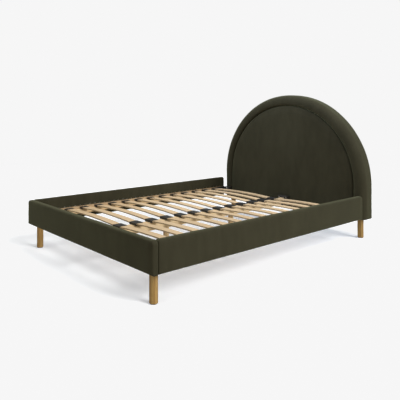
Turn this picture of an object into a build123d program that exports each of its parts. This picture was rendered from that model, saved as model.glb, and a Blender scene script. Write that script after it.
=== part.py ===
from build123d import *
import math
import os

# An upholstered double bed frame with a padded half-moon headboard, padded side and foot
# panels, round oak legs and two rows of sprung slats. Sizes are in millimetres. The floor is
# at zero height, +Z is up, and +Y runs from the foot of the bed to its head. The origin is on
# the floor, under the centre of the bed's outline.

# The whole bed
bed_width = 1440.0
bed_length = 2090.0
panel_bottom = 160.0
panel_height = 168.0
panel_thickness = 34.0
headboard_thickness = 140.0
headboard_drop = 17.0
head_gap = 28.0
panel_gap = 0.5
overrun = 5.0

# Padded side and foot panels
cover_thickness = 2.0
face_foam = 8.0
top_foam = 4.0
end_foam = 4.0
corner_round = 20.0
edge_round = 10.0
inner_edge_round = 4.0
hem_depth = 30.0
wrap_clearance = 4.0

# Headboard upholstery, with radii measured from the arch's centre
headboard_inset = 12.0
arch_height = 378.0
border_width = 89.0
border_round = 50.0
back_round = 20.0
border_seam_round = 28.0
border_least_flat = 1.0
panel_seam_round = 20.0
seam_angle = 60.0
panel_crown = 4.0
headboard_foam = 44.0
side_foam = 14.0
back_wrap = 40.0

# Headboard frame
face_board_thickness = 6.0
back_board_thickness = 3.0
back_board_edge = 2.0
rim_thickness = 12.0
timber_width = 45.0
post_width = 70.0
post_inset = 5.0
stud_spacing = 330.0
cross_rail_height = 310.0

# Blocks that pass through the headboard's foam to its frame
block_inset = 14.0
block_seam_gap = 3.0
centre_block_margin = 5.5
block_drop = 14.0
block_clearance = 0.5

# Brackets, bolts and threaded inserts
plate_thickness = 3.0
bracket_length = 90.0
bracket_height = 48.0
bracket_rise = 2.0
bracket_corner_cut = 40.0
bolt_radius = 4.0
bolt_head_radius = 7.0
bolt_head_height = 5.0
bolt_edge = 24.0
insert_radius = 6.0
insert_skin = 6.0
nut_radius = 7.5
nut_height = 6.5

# Slat supports
ledger_thickness = 22.0
ledger_height = 30.0
ledger_end_gap = 10.0
screw_radius = 2.25
screw_head_radius = 4.5
screw_head_height = 3.0
screw_skin = 4.0
screw_count = 9
centre_rail_width = 45.0
centre_rail_height = 52.0
centre_rail_gap = 0.5
hanger_thickness = 2.0
hanger_depth = 50.0
hanger_ear = 20.0
hanger_skin = 2.0

# Sprung slats and their holders
slat_count = 14
slat_width = 53.0
slat_thickness = 8.0
slat_rise = 12.0
slat_end_gap = 0.5
slat_clearance = 0.3
holder_side = 3.5
holder_floor = 3.0
holder_roof = 4.0
holder_wall = 4.0
holder_web = 6.0
outer_holder_depth = 40.0
centre_holder_depth = 38.0
holder_gap = 0.5
holder_margin = 6.0
holder_round = 2.5
peg_radius = 4.0
peg_length = 10.0

# Corner legs
leg_radius = 22.0
leg_side_gap = 14.0
foot_leg_gap = 3.0
head_leg_setback = 13.5
leg_edge_round = 2.5
pad_margin = 3.0
pad_thickness = 3.0
stud_depth = 40.0
head_stud_skin = 7.0
centre_stud_skin = 2.0

# Centre legs and their screw feet
centre_leg_radius = 20.0
centre_leg_clearance = 22.0
centre_leg_count = 2
sleeve_radius = 9.0
sleeve_depth = 20.0
sleeve_flange_radius = 14.0
sleeve_flange = 2.0
foot_stud_radius = 5.0
foot_stud_length = 54.0
foot_stud_socket = 4.0
foot_stud_clearance = 0.05
stud_bore_spare = 14.0
foot_radius = 25.0
foot_height = 8.0
foot_round = 3.0

# Places that follow from the sizes above
foot_y = -bed_length / 2
back_y = bed_length / 2
front_y = back_y - headboard_thickness
panel_top = panel_bottom + panel_height
core_depth = panel_thickness - cover_thickness
core_thickness = core_depth - cover_thickness - face_foam
side_x = bed_width / 2
side_core_x = side_x - core_depth
foot_core_y = foot_y + core_depth
side_start_y = foot_y + panel_thickness + panel_gap
side_end_y = front_y - head_gap
side_length = side_end_y - side_start_y
band_low = panel_bottom + hem_depth
bracket_low = band_low + bracket_rise
bracket_high = bracket_low + bracket_height
bracket_middle = (bracket_low + plate_thickness + bracket_high) / 2
band_high = bracket_high + wrap_clearance

arch_radius = side_x - headboard_inset
headboard_bottom = panel_bottom - headboard_drop
frame_bottom = headboard_bottom + cover_thickness
seam_radius = arch_radius - border_width
border_seam_run = border_seam_round * math.sin(math.radians(seam_angle))
side_round = min(border_round, border_width - border_seam_run - border_least_flat)
face_board_y = front_y + cover_thickness + headboard_foam
frame_front_y = face_board_y + face_board_thickness
back_board_y = back_y - cover_thickness - back_board_thickness
frame_radius = arch_radius - cover_thickness - side_foam
rim_inner_radius = frame_radius - rim_thickness
back_board_radius = arch_radius - back_round - back_board_edge
bottom_rail_top = frame_bottom + timber_width
post_outer_x = rim_inner_radius - post_inset
post_inner_x = post_outer_x - post_width

block_low = bracket_low - block_drop
block_outer_x = side_core_x - block_inset
block_inner_x = seam_radius + block_seam_gap
block_grip = plate_thickness + frame_front_y - side_end_y
hanger_reach = centre_rail_width / 2 + hanger_thickness + hanger_ear
centre_block_reach = hanger_reach + centre_block_margin
insert_depth = core_thickness - insert_skin
screw_grip = core_thickness - screw_skin
hanger_grip = core_thickness - hanger_skin

ledger_top = bracket_low + ledger_height
ledger_start_y = foot_core_y + bracket_length + ledger_end_gap
ledger_end_y = side_end_y - bracket_length - ledger_end_gap
centre_rail_bottom = ledger_top - centre_rail_height
centre_rail_start_y = foot_core_y + hanger_thickness + centre_rail_gap
centre_rail_end_y = side_end_y - hanger_thickness - centre_rail_gap

holder_width = slat_width + 2 * holder_side
holder_height = holder_floor + slat_thickness + holder_roof
outer_holder_x = side_core_x - holder_gap
slat_outer_x = outer_holder_x - holder_wall - slat_end_gap
slat_inner_x = holder_web / 2 + slat_end_gap
slat_length = slat_outer_x - slat_inner_x
slat_base = ledger_top + holder_floor
first_slat_y = ledger_start_y + holder_width / 2 + holder_margin
last_slat_y = ledger_end_y - holder_width / 2 - holder_margin
slat_pitch = (last_slat_y - first_slat_y) / (slat_count - 1)

leg_x = side_x - panel_thickness - leg_radius - leg_side_gap
foot_leg_y = foot_y + panel_thickness + leg_radius + foot_leg_gap
head_leg_y = frame_front_y + head_leg_setback
pad_radius = leg_radius - pad_margin
head_stud_rise = cover_thickness + timber_width - head_stud_skin
centre_stud_rise = centre_rail_height - peg_length - centre_stud_skin
foot_leg_top = bracket_low
head_leg_top = headboard_bottom
centre_leg_pitch = (centre_rail_end_y - centre_rail_start_y) / (centre_leg_count + 1)

x_direction = (1, 0, 0)
y_direction = (0, 1, 0)
z_direction = (0, 0, 1)


def block(x_low, x_high, y_low, y_high, z_low, z_high):
    """A plain block between two corners."""
    middle = Pos((x_low + x_high) / 2, (y_low + y_high) / 2, (z_low + z_high) / 2)
    return middle * Box(x_high - x_low, y_high - y_low, z_high - z_low)


def rod(start, direction, length, radius):
    """A round rod that starts at a point and runs along a direction."""
    lift = Pos(0, 0, length / 2)
    return Plane(origin=start, z_dir=direction).location * lift * Cylinder(radius, length)


def opposite(direction):
    """The direction that points the other way."""
    return tuple(-value for value in direction)


def both_sides(piece):
    """A piece and its mirror image on the other side of the bed."""
    return [piece, mirror(piece, about=Plane.YZ)]


def save(name, pieces):
    """Write the pieces of one node to its file."""
    solids = [solid for piece in pieces for solid in piece.solids()]
    shape = solids[0] if len(solids) == 1 else Compound(solids)
    export_step(shape, f"parts/{name}.step")


# Padded panels. Each is drawn along X with its outer face at zero depth and its inner side
# towards +Y, and is then placed as the footboard or a side.

def panel_body(length, inset):
    """The rounded outside of a padded panel, drawn in all round by an inset."""
    reach = length / 2 - inset
    depth = panel_thickness - inset
    body = block(-reach, reach, inset, depth, panel_bottom + inset, panel_top - inset)
    top_corners = body.edges().filter_by(Axis.Y).group_by(Axis.Z)[-1]
    body = fillet(top_corners, corner_round - inset)
    body = fillet(body.faces().sort_by(Axis.Y)[0].edges(), edge_round - inset)
    return fillet(body.faces().sort_by(Axis.Y)[-1].edges(), inner_edge_round - inset)


def core_block(length, top_spare):
    """The block that a panel's board fills, with spare height where foam is cut with it."""
    reach = length / 2 - cover_thickness - end_foam
    low = panel_bottom + cover_thickness - top_spare
    high = panel_top - cover_thickness - top_foam
    return block(-reach, reach, cover_thickness + face_foam, core_depth + top_spare, low, high)


def panel_core(length):
    """The board inside a padded panel."""
    return core_block(length, 0) & panel_body(length, cover_thickness)


def panel_foam(length):
    """Foam over the outer face, top and ends of a panel's board."""
    return panel_body(length, cover_thickness) - core_block(length, overrun)


def panel_cover(length):
    """The fabric cover, turned over the top and under the board, with the board bare between."""
    reach = length / 2 + overrun
    window = block(-reach, reach, core_depth, panel_thickness + overrun, band_low, band_high)
    return panel_body(length, 0) - panel_body(length, cover_thickness) - window


def at_foot(panel):
    """Place a panel as the footboard."""
    return Pos(0, foot_y, 0) * panel


def at_right(panel):
    """Place a panel as the side panel on the right of the bed."""
    return Pos(side_x, (side_start_y + side_end_y) / 2, 0) * Rot(0, 0, 90) * panel


# Headboard upholstery. A section is drawn in radius and depth, turned half round the arch's
# centre and run straight down both sides.

def arch_outline(lines):
    """A flat section at the height of the arch's centre."""
    return Plane.XY.offset(arch_height) * make_face(lines)


def arch_ring(inner_radius, outer_radius, y_low, y_high):
    """A plain rectangular section between two radii."""
    corners = [
        (inner_radius, y_low),
        (outer_radius, y_low),
        (outer_radius, y_high),
        (inner_radius, y_high),
    ]
    return arch_outline(Polyline(*corners, close=True).edges())


def arch_body(section):
    """Turn a section half round and run both of its ends straight down."""
    centre = Axis((0, 0, arch_height), opposite(y_direction))
    half_round = revolve(section, centre, 180)
    right = extrude(section, amount=arch_height - frame_bottom, dir=opposite(z_direction))
    return half_round + right + mirror(right, about=Plane.YZ)


def rounded_edge(centre, radius, start_angle, end_angle):
    """An arc about a point in radius and depth, with angles from +X towards the front."""
    angles = (start_angle, (start_angle + end_angle) / 2, end_angle)
    points = []
    for angle in angles:
        turn = math.radians(angle)
        points.append((centre[0] + radius * math.cos(turn), centre[1] - radius * math.sin(turn)))
    return ThreePointArc(*points)


def seam_end_angle(seam_round, inset):
    """How far an inset arc beside the seam turns before it meets the seam's radius."""
    return math.degrees(math.asin(seam_round * math.sin(math.radians(seam_angle)) / (seam_round - inset)))


def border_section(inset):
    """The padded border's section, drawn in by an inset on its front, side and back."""
    roll_centre = (seam_radius + border_seam_run, front_y + border_seam_round)
    side_centre = (arch_radius - side_round, front_y + side_round)
    back_centre = (arch_radius - back_round, back_y - back_round)
    seam_turn = 90 + seam_end_angle(border_seam_round, inset)
    roll = rounded_edge(roll_centre, border_seam_round - inset, seam_turn, 90)
    side = rounded_edge(side_centre, side_round - inset, 90, 0)
    back = rounded_edge(back_centre, back_round - inset, 0, -90)
    back_corner = (seam_radius, back_y - inset)
    lines = [
        roll,
        Line(roll @ 1, side @ 0),
        side,
        Line(side @ 1, back @ 0),
        back,
        Line(back @ 1, back_corner),
        Line(back_corner, roll @ 0),
    ]
    return arch_outline(lines)


def panel_section(inset, back):
    """The crowned inner panel's section, from the arch's centre line out to the seam."""
    seam_depth = border_seam_round * (1 - math.cos(math.radians(seam_angle)))
    roll_depth = panel_seam_round * (1 - math.cos(math.radians(seam_angle)))
    seam_run = panel_seam_round * math.sin(math.radians(seam_angle))
    edge_y = front_y + seam_depth - roll_depth
    roll_centre = (seam_radius - seam_run, edge_y + panel_seam_round)
    seam_turn = 90 - seam_end_angle(panel_seam_round, inset)
    roll = rounded_edge(roll_centre, panel_seam_round - inset, 90, seam_turn)
    width = roll_centre[0]
    sweep = (width**2 + panel_crown**2) / (2 * panel_crown)
    middle_y = edge_y - panel_crown + sweep - math.sqrt(sweep**2 - (width / 2) ** 2) + inset
    crown_start = (0, edge_y - panel_crown + inset)
    crown = ThreePointArc(crown_start, (width / 2, middle_y), roll @ 0)
    lines = [
        crown,
        roll,
        Line(roll @ 1, (seam_radius, back)),
        Line((seam_radius, back), (0, back)),
        Line((0, back), crown_start),
    ]
    return arch_outline(lines)


def mounting_block(x_low, x_high, spare):
    """A block from the side panels' ends through the foam to the headboard's face board."""
    low = block_low - spare
    high = bracket_high + spare
    return block(x_low - spare, x_high + spare, side_end_y - spare, face_board_y, low, high)


def mounting_blocks(spare=0.0):
    """The three blocks that carry the side brackets and the centre rail."""
    right = mounting_block(block_inner_x, block_outer_x, spare)
    centre = mounting_block(-centre_block_reach, centre_block_reach, spare)
    return both_sides(right) + [centre]


def border_cover():
    """Fabric over the border, from the seam round the side and on to the back."""
    strip = arch_ring(0, arch_radius - back_wrap, back_y - cover_thickness, back_y + overrun)
    section = border_section(0) - border_section(cover_thickness) - strip
    return arch_body(section) - mounting_blocks(block_clearance)


def border_foam():
    """Two foam strips: one on the face board's edge and a thin one round the frame's side."""
    padding = border_section(cover_thickness)
    front = padding & arch_ring(0, arch_radius, front_y, face_board_y)
    frame = arch_ring(0, frame_radius, face_board_y, back_board_y)
    board = arch_ring(0, back_board_radius, back_board_y - overrun, back_y + overrun)
    side = padding & arch_ring(0, arch_radius, face_board_y, back_y)
    front_strip = arch_body(front) - mounting_blocks(block_clearance)
    return [front_strip, arch_body(side - frame - board)]


def headboard_panel_cover():
    """Fabric over the crowned inner panel."""
    skin = panel_section(0, face_board_y) - panel_section(cover_thickness, face_board_y + overrun)
    return arch_body(skin) - mounting_blocks(block_clearance)


def headboard_panel_foam():
    """Crowned foam on the face board, inside the border."""
    return arch_body(panel_section(cover_thickness, face_board_y)) - mounting_blocks(block_clearance)


def back_cover():
    """Lining over the back board, inside the border's turned edge."""
    return arch_body(arch_ring(0, arch_radius - back_wrap, back_y - cover_thickness, back_y))


def bottom_cover():
    """Fabric across the underside of the headboard, with holes for the leg studs."""
    half = border_section(0) + panel_section(0, back_y)
    sheet = extrude(half, amount=cover_thickness, dir=opposite(z_direction))
    lowered = Pos(0, 0, frame_bottom - arch_height) * sheet
    return lowered + mirror(lowered, about=Plane.YZ) - head_stud_holes()


# Headboard frame

def face_board():
    """The thin board that carries the headboard's foam."""
    board = arch_body(arch_ring(0, frame_radius, face_board_y, frame_front_y))
    return board - head_bolt_holes()


def back_board():
    """The thin board that closes the back of the frame."""
    return arch_body(arch_ring(0, back_board_radius, back_board_y, back_y - cover_thickness))


def arch_rim():
    """The bent plywood rim round the frame."""
    return arch_body(arch_ring(rim_inner_radius, frame_radius, frame_front_y, back_board_y))


def inside_rim():
    """The space that the rim encloses."""
    return arch_body(arch_ring(0, rim_inner_radius, frame_front_y, back_board_y))


def bottom_rail():
    """The timber along the bottom of the frame, which the head legs screw into."""
    reach = rim_inner_radius
    rail = block(-reach, reach, frame_front_y, back_board_y, frame_bottom, bottom_rail_top)
    rail = rail - head_stud_holes() - insert_spaces(head_leg_places(), cover_thickness)
    return rail - head_bolt_holes() - insert_spaces(head_block_places(), block_grip)


def posts():
    """Upright timbers beside the rim, which take the side brackets' bolts."""
    top = frame_bottom + cross_rail_height + timber_width
    right = block(post_inner_x, post_outer_x, frame_front_y, back_board_y, bottom_rail_top, top)
    right = right & inside_rim()
    return both_sides(right - head_bolt_holes() - insert_spaces(head_block_places(), block_grip))


def studs():
    """Three uprights from the bottom rail to the rim."""
    top = arch_height + arch_radius
    half = timber_width / 2
    pieces = []
    for step in (-1, 0, 1):
        middle = step * stud_spacing
        upright = block(middle - half, middle + half, frame_front_y, back_board_y, bottom_rail_top, top)
        pieces.append(upright & inside_rim())
    return pieces


def cross_rails():
    """Short timbers between the posts and the studs."""
    low = frame_bottom + cross_rail_height
    half = timber_width / 2
    inner = block(half, stud_spacing - half, frame_front_y, back_board_y, low, low + timber_width)
    outer = block(stud_spacing + half, post_inner_x, frame_front_y, back_board_y, low, low + timber_width)
    return both_sides(inner) + both_sides(outer)


# Bolts, inserts and screws. A place is a point and the direction in which the fastener runs.

def mirrored(places):
    """The same places on both sides of the bed."""
    other = []
    for point, direction in places:
        other.append(((-point[0], point[1], point[2]), (-direction[0], direction[1], direction[2])))
    return places + other


def along(place, distance):
    """The point at a distance along a place's direction."""
    point, direction = place
    return tuple(value + distance * step for value, step in zip(point, direction))


def foot_bracket_places():
    """Bolt places of the right foot bracket, first on the side panel and then on the footboard."""
    far = bracket_length - bolt_edge
    places = []
    for step in (far / 2, far):
        places.append(((side_core_x - plate_thickness, foot_core_y + step, bracket_middle), x_direction))
    for step in (far / 2, far):
        point = (side_core_x - step, foot_core_y + plate_thickness, bracket_middle)
        places.append((point, opposite(y_direction)))
    return places


def head_side_places():
    """Bolt places of the right head bracket on the side panel."""
    far = bracket_length - bolt_edge
    places = []
    for step in (far / 2, far):
        places.append(((side_core_x - plate_thickness, side_end_y - step, bracket_middle), x_direction))
    return places


def head_block_places():
    """Bolt places of the right head bracket, through the block and into the post."""
    x = (block_inner_x + block_outer_x) / 2
    middle = (bracket_low + bracket_high) / 2
    places = []
    for step in (-bracket_height / 4, bracket_height / 4):
        places.append(((x, side_end_y - plate_thickness, middle + step), y_direction))
    return places


def panel_bolt_places():
    """Every bolt through a bracket into a padded panel's board."""
    return mirrored(foot_bracket_places() + head_side_places())


def bolt(place, grip):
    """A pan-head bolt with its head on the near side of its place."""
    point, direction = place
    shank = rod(point, direction, grip, bolt_radius)
    return shank + rod(point, opposite(direction), bolt_head_height, bolt_head_radius)


def frame_bolts():
    """All the bolts that hold the corner brackets."""
    short = [bolt(place, plate_thickness + insert_depth) for place in panel_bolt_places()]
    long = [bolt(place, block_grip + insert_depth) for place in mirrored(head_block_places())]
    return short + long


def insert_spaces(places, start):
    """The round spaces that threaded inserts fill, at a distance along each place."""
    return [rod(along(place, start), place[1], insert_depth, insert_radius) for place in places]


def inserts(places, start):
    """Threaded inserts, each with the bore that its bolt fills."""
    bores = [rod(along(place, start), place[1], insert_depth, bolt_radius) for place in places]
    return [body - bore for body, bore in zip(insert_spaces(places, start), bores)]


def threaded_inserts():
    """Inserts in the panels' boards, in the posts and under the headboard."""
    in_panels = inserts(panel_bolt_places(), plate_thickness)
    in_posts = inserts(mirrored(head_block_places()), block_grip)
    return in_panels + in_posts + inserts(head_leg_places(), cover_thickness)


def head_bolt_holes():
    """Holes for the long bolts that run through the blocks to the posts."""
    places = mirrored(head_block_places())
    return [rod(point, direction, block_grip + insert_depth, bolt_radius) for point, direction in places]


def head_leg_places():
    """Where the head legs' studs enter the headboard."""
    return mirrored([((leg_x, head_leg_y, head_leg_top), z_direction)])


def head_stud_holes():
    """Holes above the head legs for their studs."""
    return [rod(point, direction, head_stud_rise, bolt_radius) for point, direction in head_leg_places()]


def screw(place, grip):
    """A wood screw whose head lies flush below the surface at its place."""
    point, direction = place
    return rod(point, direction, grip, screw_radius) + screw_head(place)


def screw_head(place):
    """The flat head of a wood screw."""
    return rod(place[0], place[1], screw_head_height, screw_head_radius)


def screw_spaces(places, grip):
    """The spaces that wood screws fill."""
    return [screw(place, grip) for place in places]


# Boards and blocks with their holes

def side_core():
    """The right side panel's board, drilled for the brackets and the ledger."""
    places = foot_bracket_places()[:2] + head_side_places()
    board = at_right(panel_core(side_length)) - insert_spaces(places, plate_thickness)
    return board - screw_spaces(ledger_screw_places(), ledger_thickness + screw_grip)


def foot_core():
    """The footboard's board, drilled for the corner brackets and the centre rail's hanger."""
    places = mirrored(foot_bracket_places()[2:])
    board = at_foot(panel_core(bed_width)) - insert_spaces(places, plate_thickness)
    return board - screw_spaces(foot_hanger_places(), hanger_grip)


def drilled_blocks():
    """The three mounting blocks, drilled for the bolts and the hanger's screws."""
    solid_blocks = mounting_blocks()
    holes = head_bolt_holes() + screw_spaces(head_hanger_places(), hanger_grip)
    return [piece - holes for piece in solid_blocks]


# Brackets

def foot_bracket():
    """The right foot corner bracket: two flanges and the plate that the leg bolts to."""
    x = side_core_x
    y = foot_core_y
    on_side = block(x - plate_thickness, x, y, y + bracket_length, bracket_low, bracket_high)
    on_foot = block(x - bracket_length, x, y, y + plate_thickness, bracket_low, bracket_high)
    base = block(x - bracket_length, x, y, y + bracket_length, bracket_low, bracket_low + plate_thickness)
    free_corner = base.edges().filter_by(Axis.Z).group_by(Axis.X)[0].sort_by(Axis.Y)[-1]
    base = chamfer(free_corner, bracket_corner_cut)
    leg_hole = rod((leg_x, foot_leg_y, bracket_low), z_direction, plate_thickness, bolt_radius)
    return on_side + on_foot + base - leg_hole - bolt_holes(foot_bracket_places())


def head_bracket():
    """The right head bracket: an angle from the side panel to the mounting block."""
    x = side_core_x
    y = side_end_y
    on_side = block(x - plate_thickness, x, y - bracket_length, y, bracket_low, bracket_high)
    on_block = block(block_inner_x, x, y - plate_thickness, y, bracket_low, bracket_high)
    return on_side + on_block - bolt_holes(head_side_places() + head_block_places())


def bolt_holes(places):
    """Holes through a bracket's plate."""
    return [rod(point, direction, plate_thickness, bolt_radius) for point, direction in places]


# Slat supports

def ledger_screw_places():
    """Evenly spaced screw places along the right ledger."""
    length = ledger_end_y - ledger_start_y
    height = (bracket_low + ledger_top) / 2
    places = []
    for index in range(screw_count):
        y = ledger_start_y + length * (index + 1) / (screw_count + 1)
        places.append(((side_core_x - ledger_thickness, y, height), x_direction))
    return places


def ledger():
    """The timber strip along the right side panel that carries the outer slat holders."""
    x_low = side_core_x - ledger_thickness
    strip = block(x_low, side_core_x, ledger_start_y, ledger_end_y, bracket_low, ledger_top)
    strip = strip - screw_spaces(ledger_screw_places(), ledger_thickness + screw_grip)
    return strip - outer_pegs()


def ledger_screws():
    """The screws of both ledgers."""
    places = mirrored(ledger_screw_places())
    return screw_spaces(places, ledger_thickness + screw_grip)


def centre_rail():
    """The timber under the bed's centre line that carries the centre slat holders."""
    half = centre_rail_width / 2
    timber = block(-half, half, centre_rail_start_y, centre_rail_end_y, centre_rail_bottom, ledger_top)
    return timber - centre_pegs() - centre_stud_spaces()


def hanger(wall_y, direction):
    """A steel cup that holds one end of the centre rail against a wall."""
    half = centre_rail_width / 2
    plate_y = wall_y + direction * hanger_thickness
    cup_y = plate_y + direction * hanger_depth
    near, far = sorted((plate_y, cup_y))
    low = centre_rail_bottom - hanger_thickness
    ear = hanger_reach
    plate = block(-ear, ear, min(wall_y, plate_y), max(wall_y, plate_y), bracket_low, bracket_high)
    shoe = block(-half - hanger_thickness, half + hanger_thickness, near, far, low, ledger_top)
    room = block(-half, half, near - overrun, far + overrun, centre_rail_bottom, ledger_top + overrun)
    return plate + (shoe - room)


def hanger_places(wall_y, direction):
    """Screw places in the ears of a hanger."""
    x = hanger_reach - hanger_ear / 2
    y = wall_y - hanger_thickness * direction[1]
    places = []
    for height in (bracket_low + bracket_height / 4, bracket_high - bracket_height / 4):
        places.append(((x, y, height), direction))
    return mirrored(places)


def foot_hanger_places():
    """Screws of the hanger on the footboard."""
    return hanger_places(foot_core_y, opposite(y_direction))


def head_hanger_places():
    """Screws of the hanger on the centre mounting block."""
    return hanger_places(side_end_y, y_direction)


def hanger_screws():
    """The screws of both hangers."""
    return screw_spaces(foot_hanger_places() + head_hanger_places(), hanger_grip)


def hangers():
    """The two hangers with their screw holes."""
    at_foot_end = hanger(foot_core_y, 1) - screw_spaces(foot_hanger_places(), hanger_grip)
    at_head_end = hanger(side_end_y, -1) - screw_spaces(head_hanger_places(), hanger_grip)
    return [at_foot_end, at_head_end]


# Slats and holders. A slat is a bowed strip that springs up between its two ends.

def slat_rows():
    """The position of each row of slats along the bed."""
    return [first_slat_y + slat_pitch * index for index in range(slat_count)]


def slat_body(row_y, end_spare, side_spare, top_spare):
    """A bowed slat on the right of the bed, or the larger space that it needs."""
    half = slat_length / 2
    bow = (half**2 + slat_rise**2) / (2 * slat_rise)
    reach = half + end_spare
    end_drop = bow - math.sqrt(bow**2 - reach**2) - slat_rise
    thickness = slat_thickness + top_spare
    end_top = thickness - end_drop
    under = ThreePointArc((-reach, -end_drop), (0, slat_rise), (reach, -end_drop))
    over = ThreePointArc((reach, end_top), (0, slat_rise + thickness), (-reach, end_top))
    outline = [under, Line(under @ 1, over @ 0), over, Line(over @ 1, under @ 0)]
    width = slat_width + 2 * side_spare
    strip = extrude(Plane.XZ * make_face(outline), amount=width / 2, both=True)
    return Pos(slat_inner_x + half, row_y, slat_base) * strip


def slat_pair(row_y):
    """The two slats of one row."""
    return both_sides(slat_body(row_y, 0, 0, 0))


def slat_room(row_y):
    """The room that a slat takes up in its holders."""
    return slat_body(row_y, slat_end_gap, slat_clearance, slat_clearance)


def holder_block(x_low, x_high, row_y):
    """A rounded plastic block that stands on a ledger or on the centre rail."""
    half = holder_width / 2
    body = block(x_low, x_high, row_y - half, row_y + half, ledger_top, ledger_top + holder_height)
    uprights = body.edges().filter_by(Axis.Z)
    return fillet(uprights, holder_round)


def peg(x, row_y, spare=0.0):
    """A round peg under a holder, or the deeper hole that takes it."""
    return rod((x, row_y, ledger_top), opposite(z_direction), peg_length + spare, peg_radius)


def outer_peg_x():
    """The pegs of the outer holders stand over the middle of the ledger."""
    return side_core_x - ledger_thickness / 2


def outer_pegs():
    """Peg holes along the right ledger."""
    return [peg(outer_peg_x(), row_y) for row_y in slat_rows()]


def centre_pegs():
    """Peg holes along the centre rail."""
    return [peg(0, row_y) for row_y in slat_rows()]


def outer_holder(row_y):
    """The holder of a right slat's outer end."""
    body = holder_block(outer_holder_x - outer_holder_depth, outer_holder_x, row_y)
    return body - slat_room(row_y) + peg(outer_peg_x(), row_y)


def centre_holder(row_y):
    """The double holder of a row's two inner ends."""
    body = holder_block(-centre_holder_depth, centre_holder_depth, row_y)
    return body - both_sides(slat_room(row_y)) + peg(0, row_y)


# Legs

def corner_leg(x, y, top):
    """A round leg with an eased lower edge, bored for its stud."""
    leg = rod((x, y, pad_thickness), z_direction, top - pad_thickness, leg_radius)
    leg = fillet(leg.edges().sort_by(Axis.Z)[0], leg_edge_round)
    return leg - rod((x, y, top - stud_depth), z_direction, stud_depth, bolt_radius)


def felt_pad(x, y):
    """A round felt pad under a corner leg."""
    return rod((x, y, 0), z_direction, pad_thickness, pad_radius)


def corner_stud(x, y, top, rise):
    """A threaded stud from a leg up into what carries it."""
    return rod((x, y, top - stud_depth), z_direction, stud_depth + rise, bolt_radius)


def foot_leg_nut():
    """The nut above the right foot bracket's plate, with its bore filled by the stud."""
    low = foot_leg_top + plate_thickness
    flat = Pos(leg_x, foot_leg_y, low) * RegularPolygon(nut_radius, 6)
    stud_space = rod((leg_x, foot_leg_y, low), z_direction, nut_height, bolt_radius)
    return extrude(flat, amount=nut_height) - stud_space


def leg_studs():
    """The studs of all the legs, and the nuts of the foot legs."""
    foot = corner_stud(leg_x, foot_leg_y, foot_leg_top, plate_thickness + nut_height)
    head = corner_stud(leg_x, head_leg_y, head_leg_top, head_stud_rise)
    centre = [corner_stud(0, y, centre_rail_bottom, centre_stud_rise) for y in centre_leg_rows()]
    return both_sides(foot) + both_sides(head) + both_sides(foot_leg_nut()) + centre


def centre_leg_rows():
    """The centre legs stand at equal steps along the centre rail."""
    return [centre_rail_start_y + centre_leg_pitch * (index + 1) for index in range(centre_leg_count)]


def centre_stud_spaces():
    """Holes for the centre legs' studs in the centre rail."""
    return [corner_stud(0, y, centre_rail_bottom, centre_stud_rise) for y in centre_leg_rows()]


def centre_leg(y):
    """A round timber leg under the centre rail, bored for its screw foot."""
    low = centre_leg_clearance
    leg = rod((0, y, low), z_direction, centre_rail_bottom - low, centre_leg_radius)
    sleeve = rod((0, y, low), z_direction, sleeve_depth, sleeve_radius)
    bore_depth = foot_stud_length + foot_height - foot_stud_socket - low + stud_bore_spare
    bore = rod((0, y, low), z_direction, bore_depth, foot_stud_radius + foot_stud_clearance)
    return leg - sleeve - bore - corner_stud(0, y, centre_rail_bottom, 0)


def leg_sleeve(y):
    """The threaded sleeve in the bottom of a centre leg, with its flange."""
    low = centre_leg_clearance
    sleeve = rod((0, y, low), z_direction, sleeve_depth, sleeve_radius)
    flange = rod((0, y, low - sleeve_flange), z_direction, sleeve_flange, sleeve_flange_radius)
    length = sleeve_depth + sleeve_flange
    bore = rod((0, y, low - sleeve_flange), z_direction, length, foot_stud_radius + foot_stud_clearance)
    return sleeve + flange - bore


def foot_stud(y):
    """The threaded stud of a screw foot."""
    low = foot_height - foot_stud_socket
    return rod((0, y, low), z_direction, foot_stud_length, foot_stud_radius)


def foot_disc(y):
    """The round foot that the stud is fixed in."""
    disc = rod((0, y, 0), z_direction, foot_height, foot_radius)
    disc = fillet(disc.edges().sort_by(Axis.Z)[-1], foot_round)
    return disc - foot_stud(y)


# Write one file for each node

os.makedirs("parts", exist_ok=True)

save("headboard_border_cover", [border_cover()])
save("headboard_border_foam", border_foam())
save("headboard_panel_cover", [headboard_panel_cover()])
save("headboard_panel_foam", [headboard_panel_foam()])
save("headboard_back_cover", [back_cover()])
save("headboard_bottom_cover", [bottom_cover()])
save("headboard_face_board", [face_board()])
save("headboard_back_board", [back_board()])
save("headboard_arch_rim", [arch_rim()])
save("headboard_bottom_rail", [bottom_rail()])
save("headboard_posts", posts())
save("headboard_studs", studs())
save("headboard_cross_rails", cross_rails())
save("headboard_mounting_blocks", drilled_blocks())

save("footboard_cover", [at_foot(panel_cover(bed_width))])
save("footboard_foam", [at_foot(panel_foam(bed_width))])
save("footboard_core", [foot_core()])
side_covers = both_sides(at_right(panel_cover(side_length)))
side_foams = both_sides(at_right(panel_foam(side_length)))
side_cores = both_sides(side_core())
for index, side in enumerate(("right", "left")):
    save(f"{side}_side_cover", [side_covers[index]])
    save(f"{side}_side_foam", [side_foams[index]])
    save(f"{side}_side_core", [side_cores[index]])

save("foot_corner_brackets", both_sides(foot_bracket()))
save("head_corner_brackets", both_sides(head_bracket()))
save("frame_bolts", frame_bolts())
save("threaded_inserts", threaded_inserts())
save("slat_ledgers", both_sides(ledger()))
save("ledger_screws", ledger_screws())
save("centre_rail", [centre_rail()])
save("centre_rail_hangers", hangers())
save("hanger_screws", hanger_screws())

save("outer_slat_holders", [piece for y in slat_rows() for piece in both_sides(outer_holder(y))])
save("centre_slat_holders", [centre_holder(y) for y in slat_rows()])
for number, y in enumerate(slat_rows(), start=1):
    save(f"slat_pair_{number:02d}", slat_pair(y))

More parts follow.
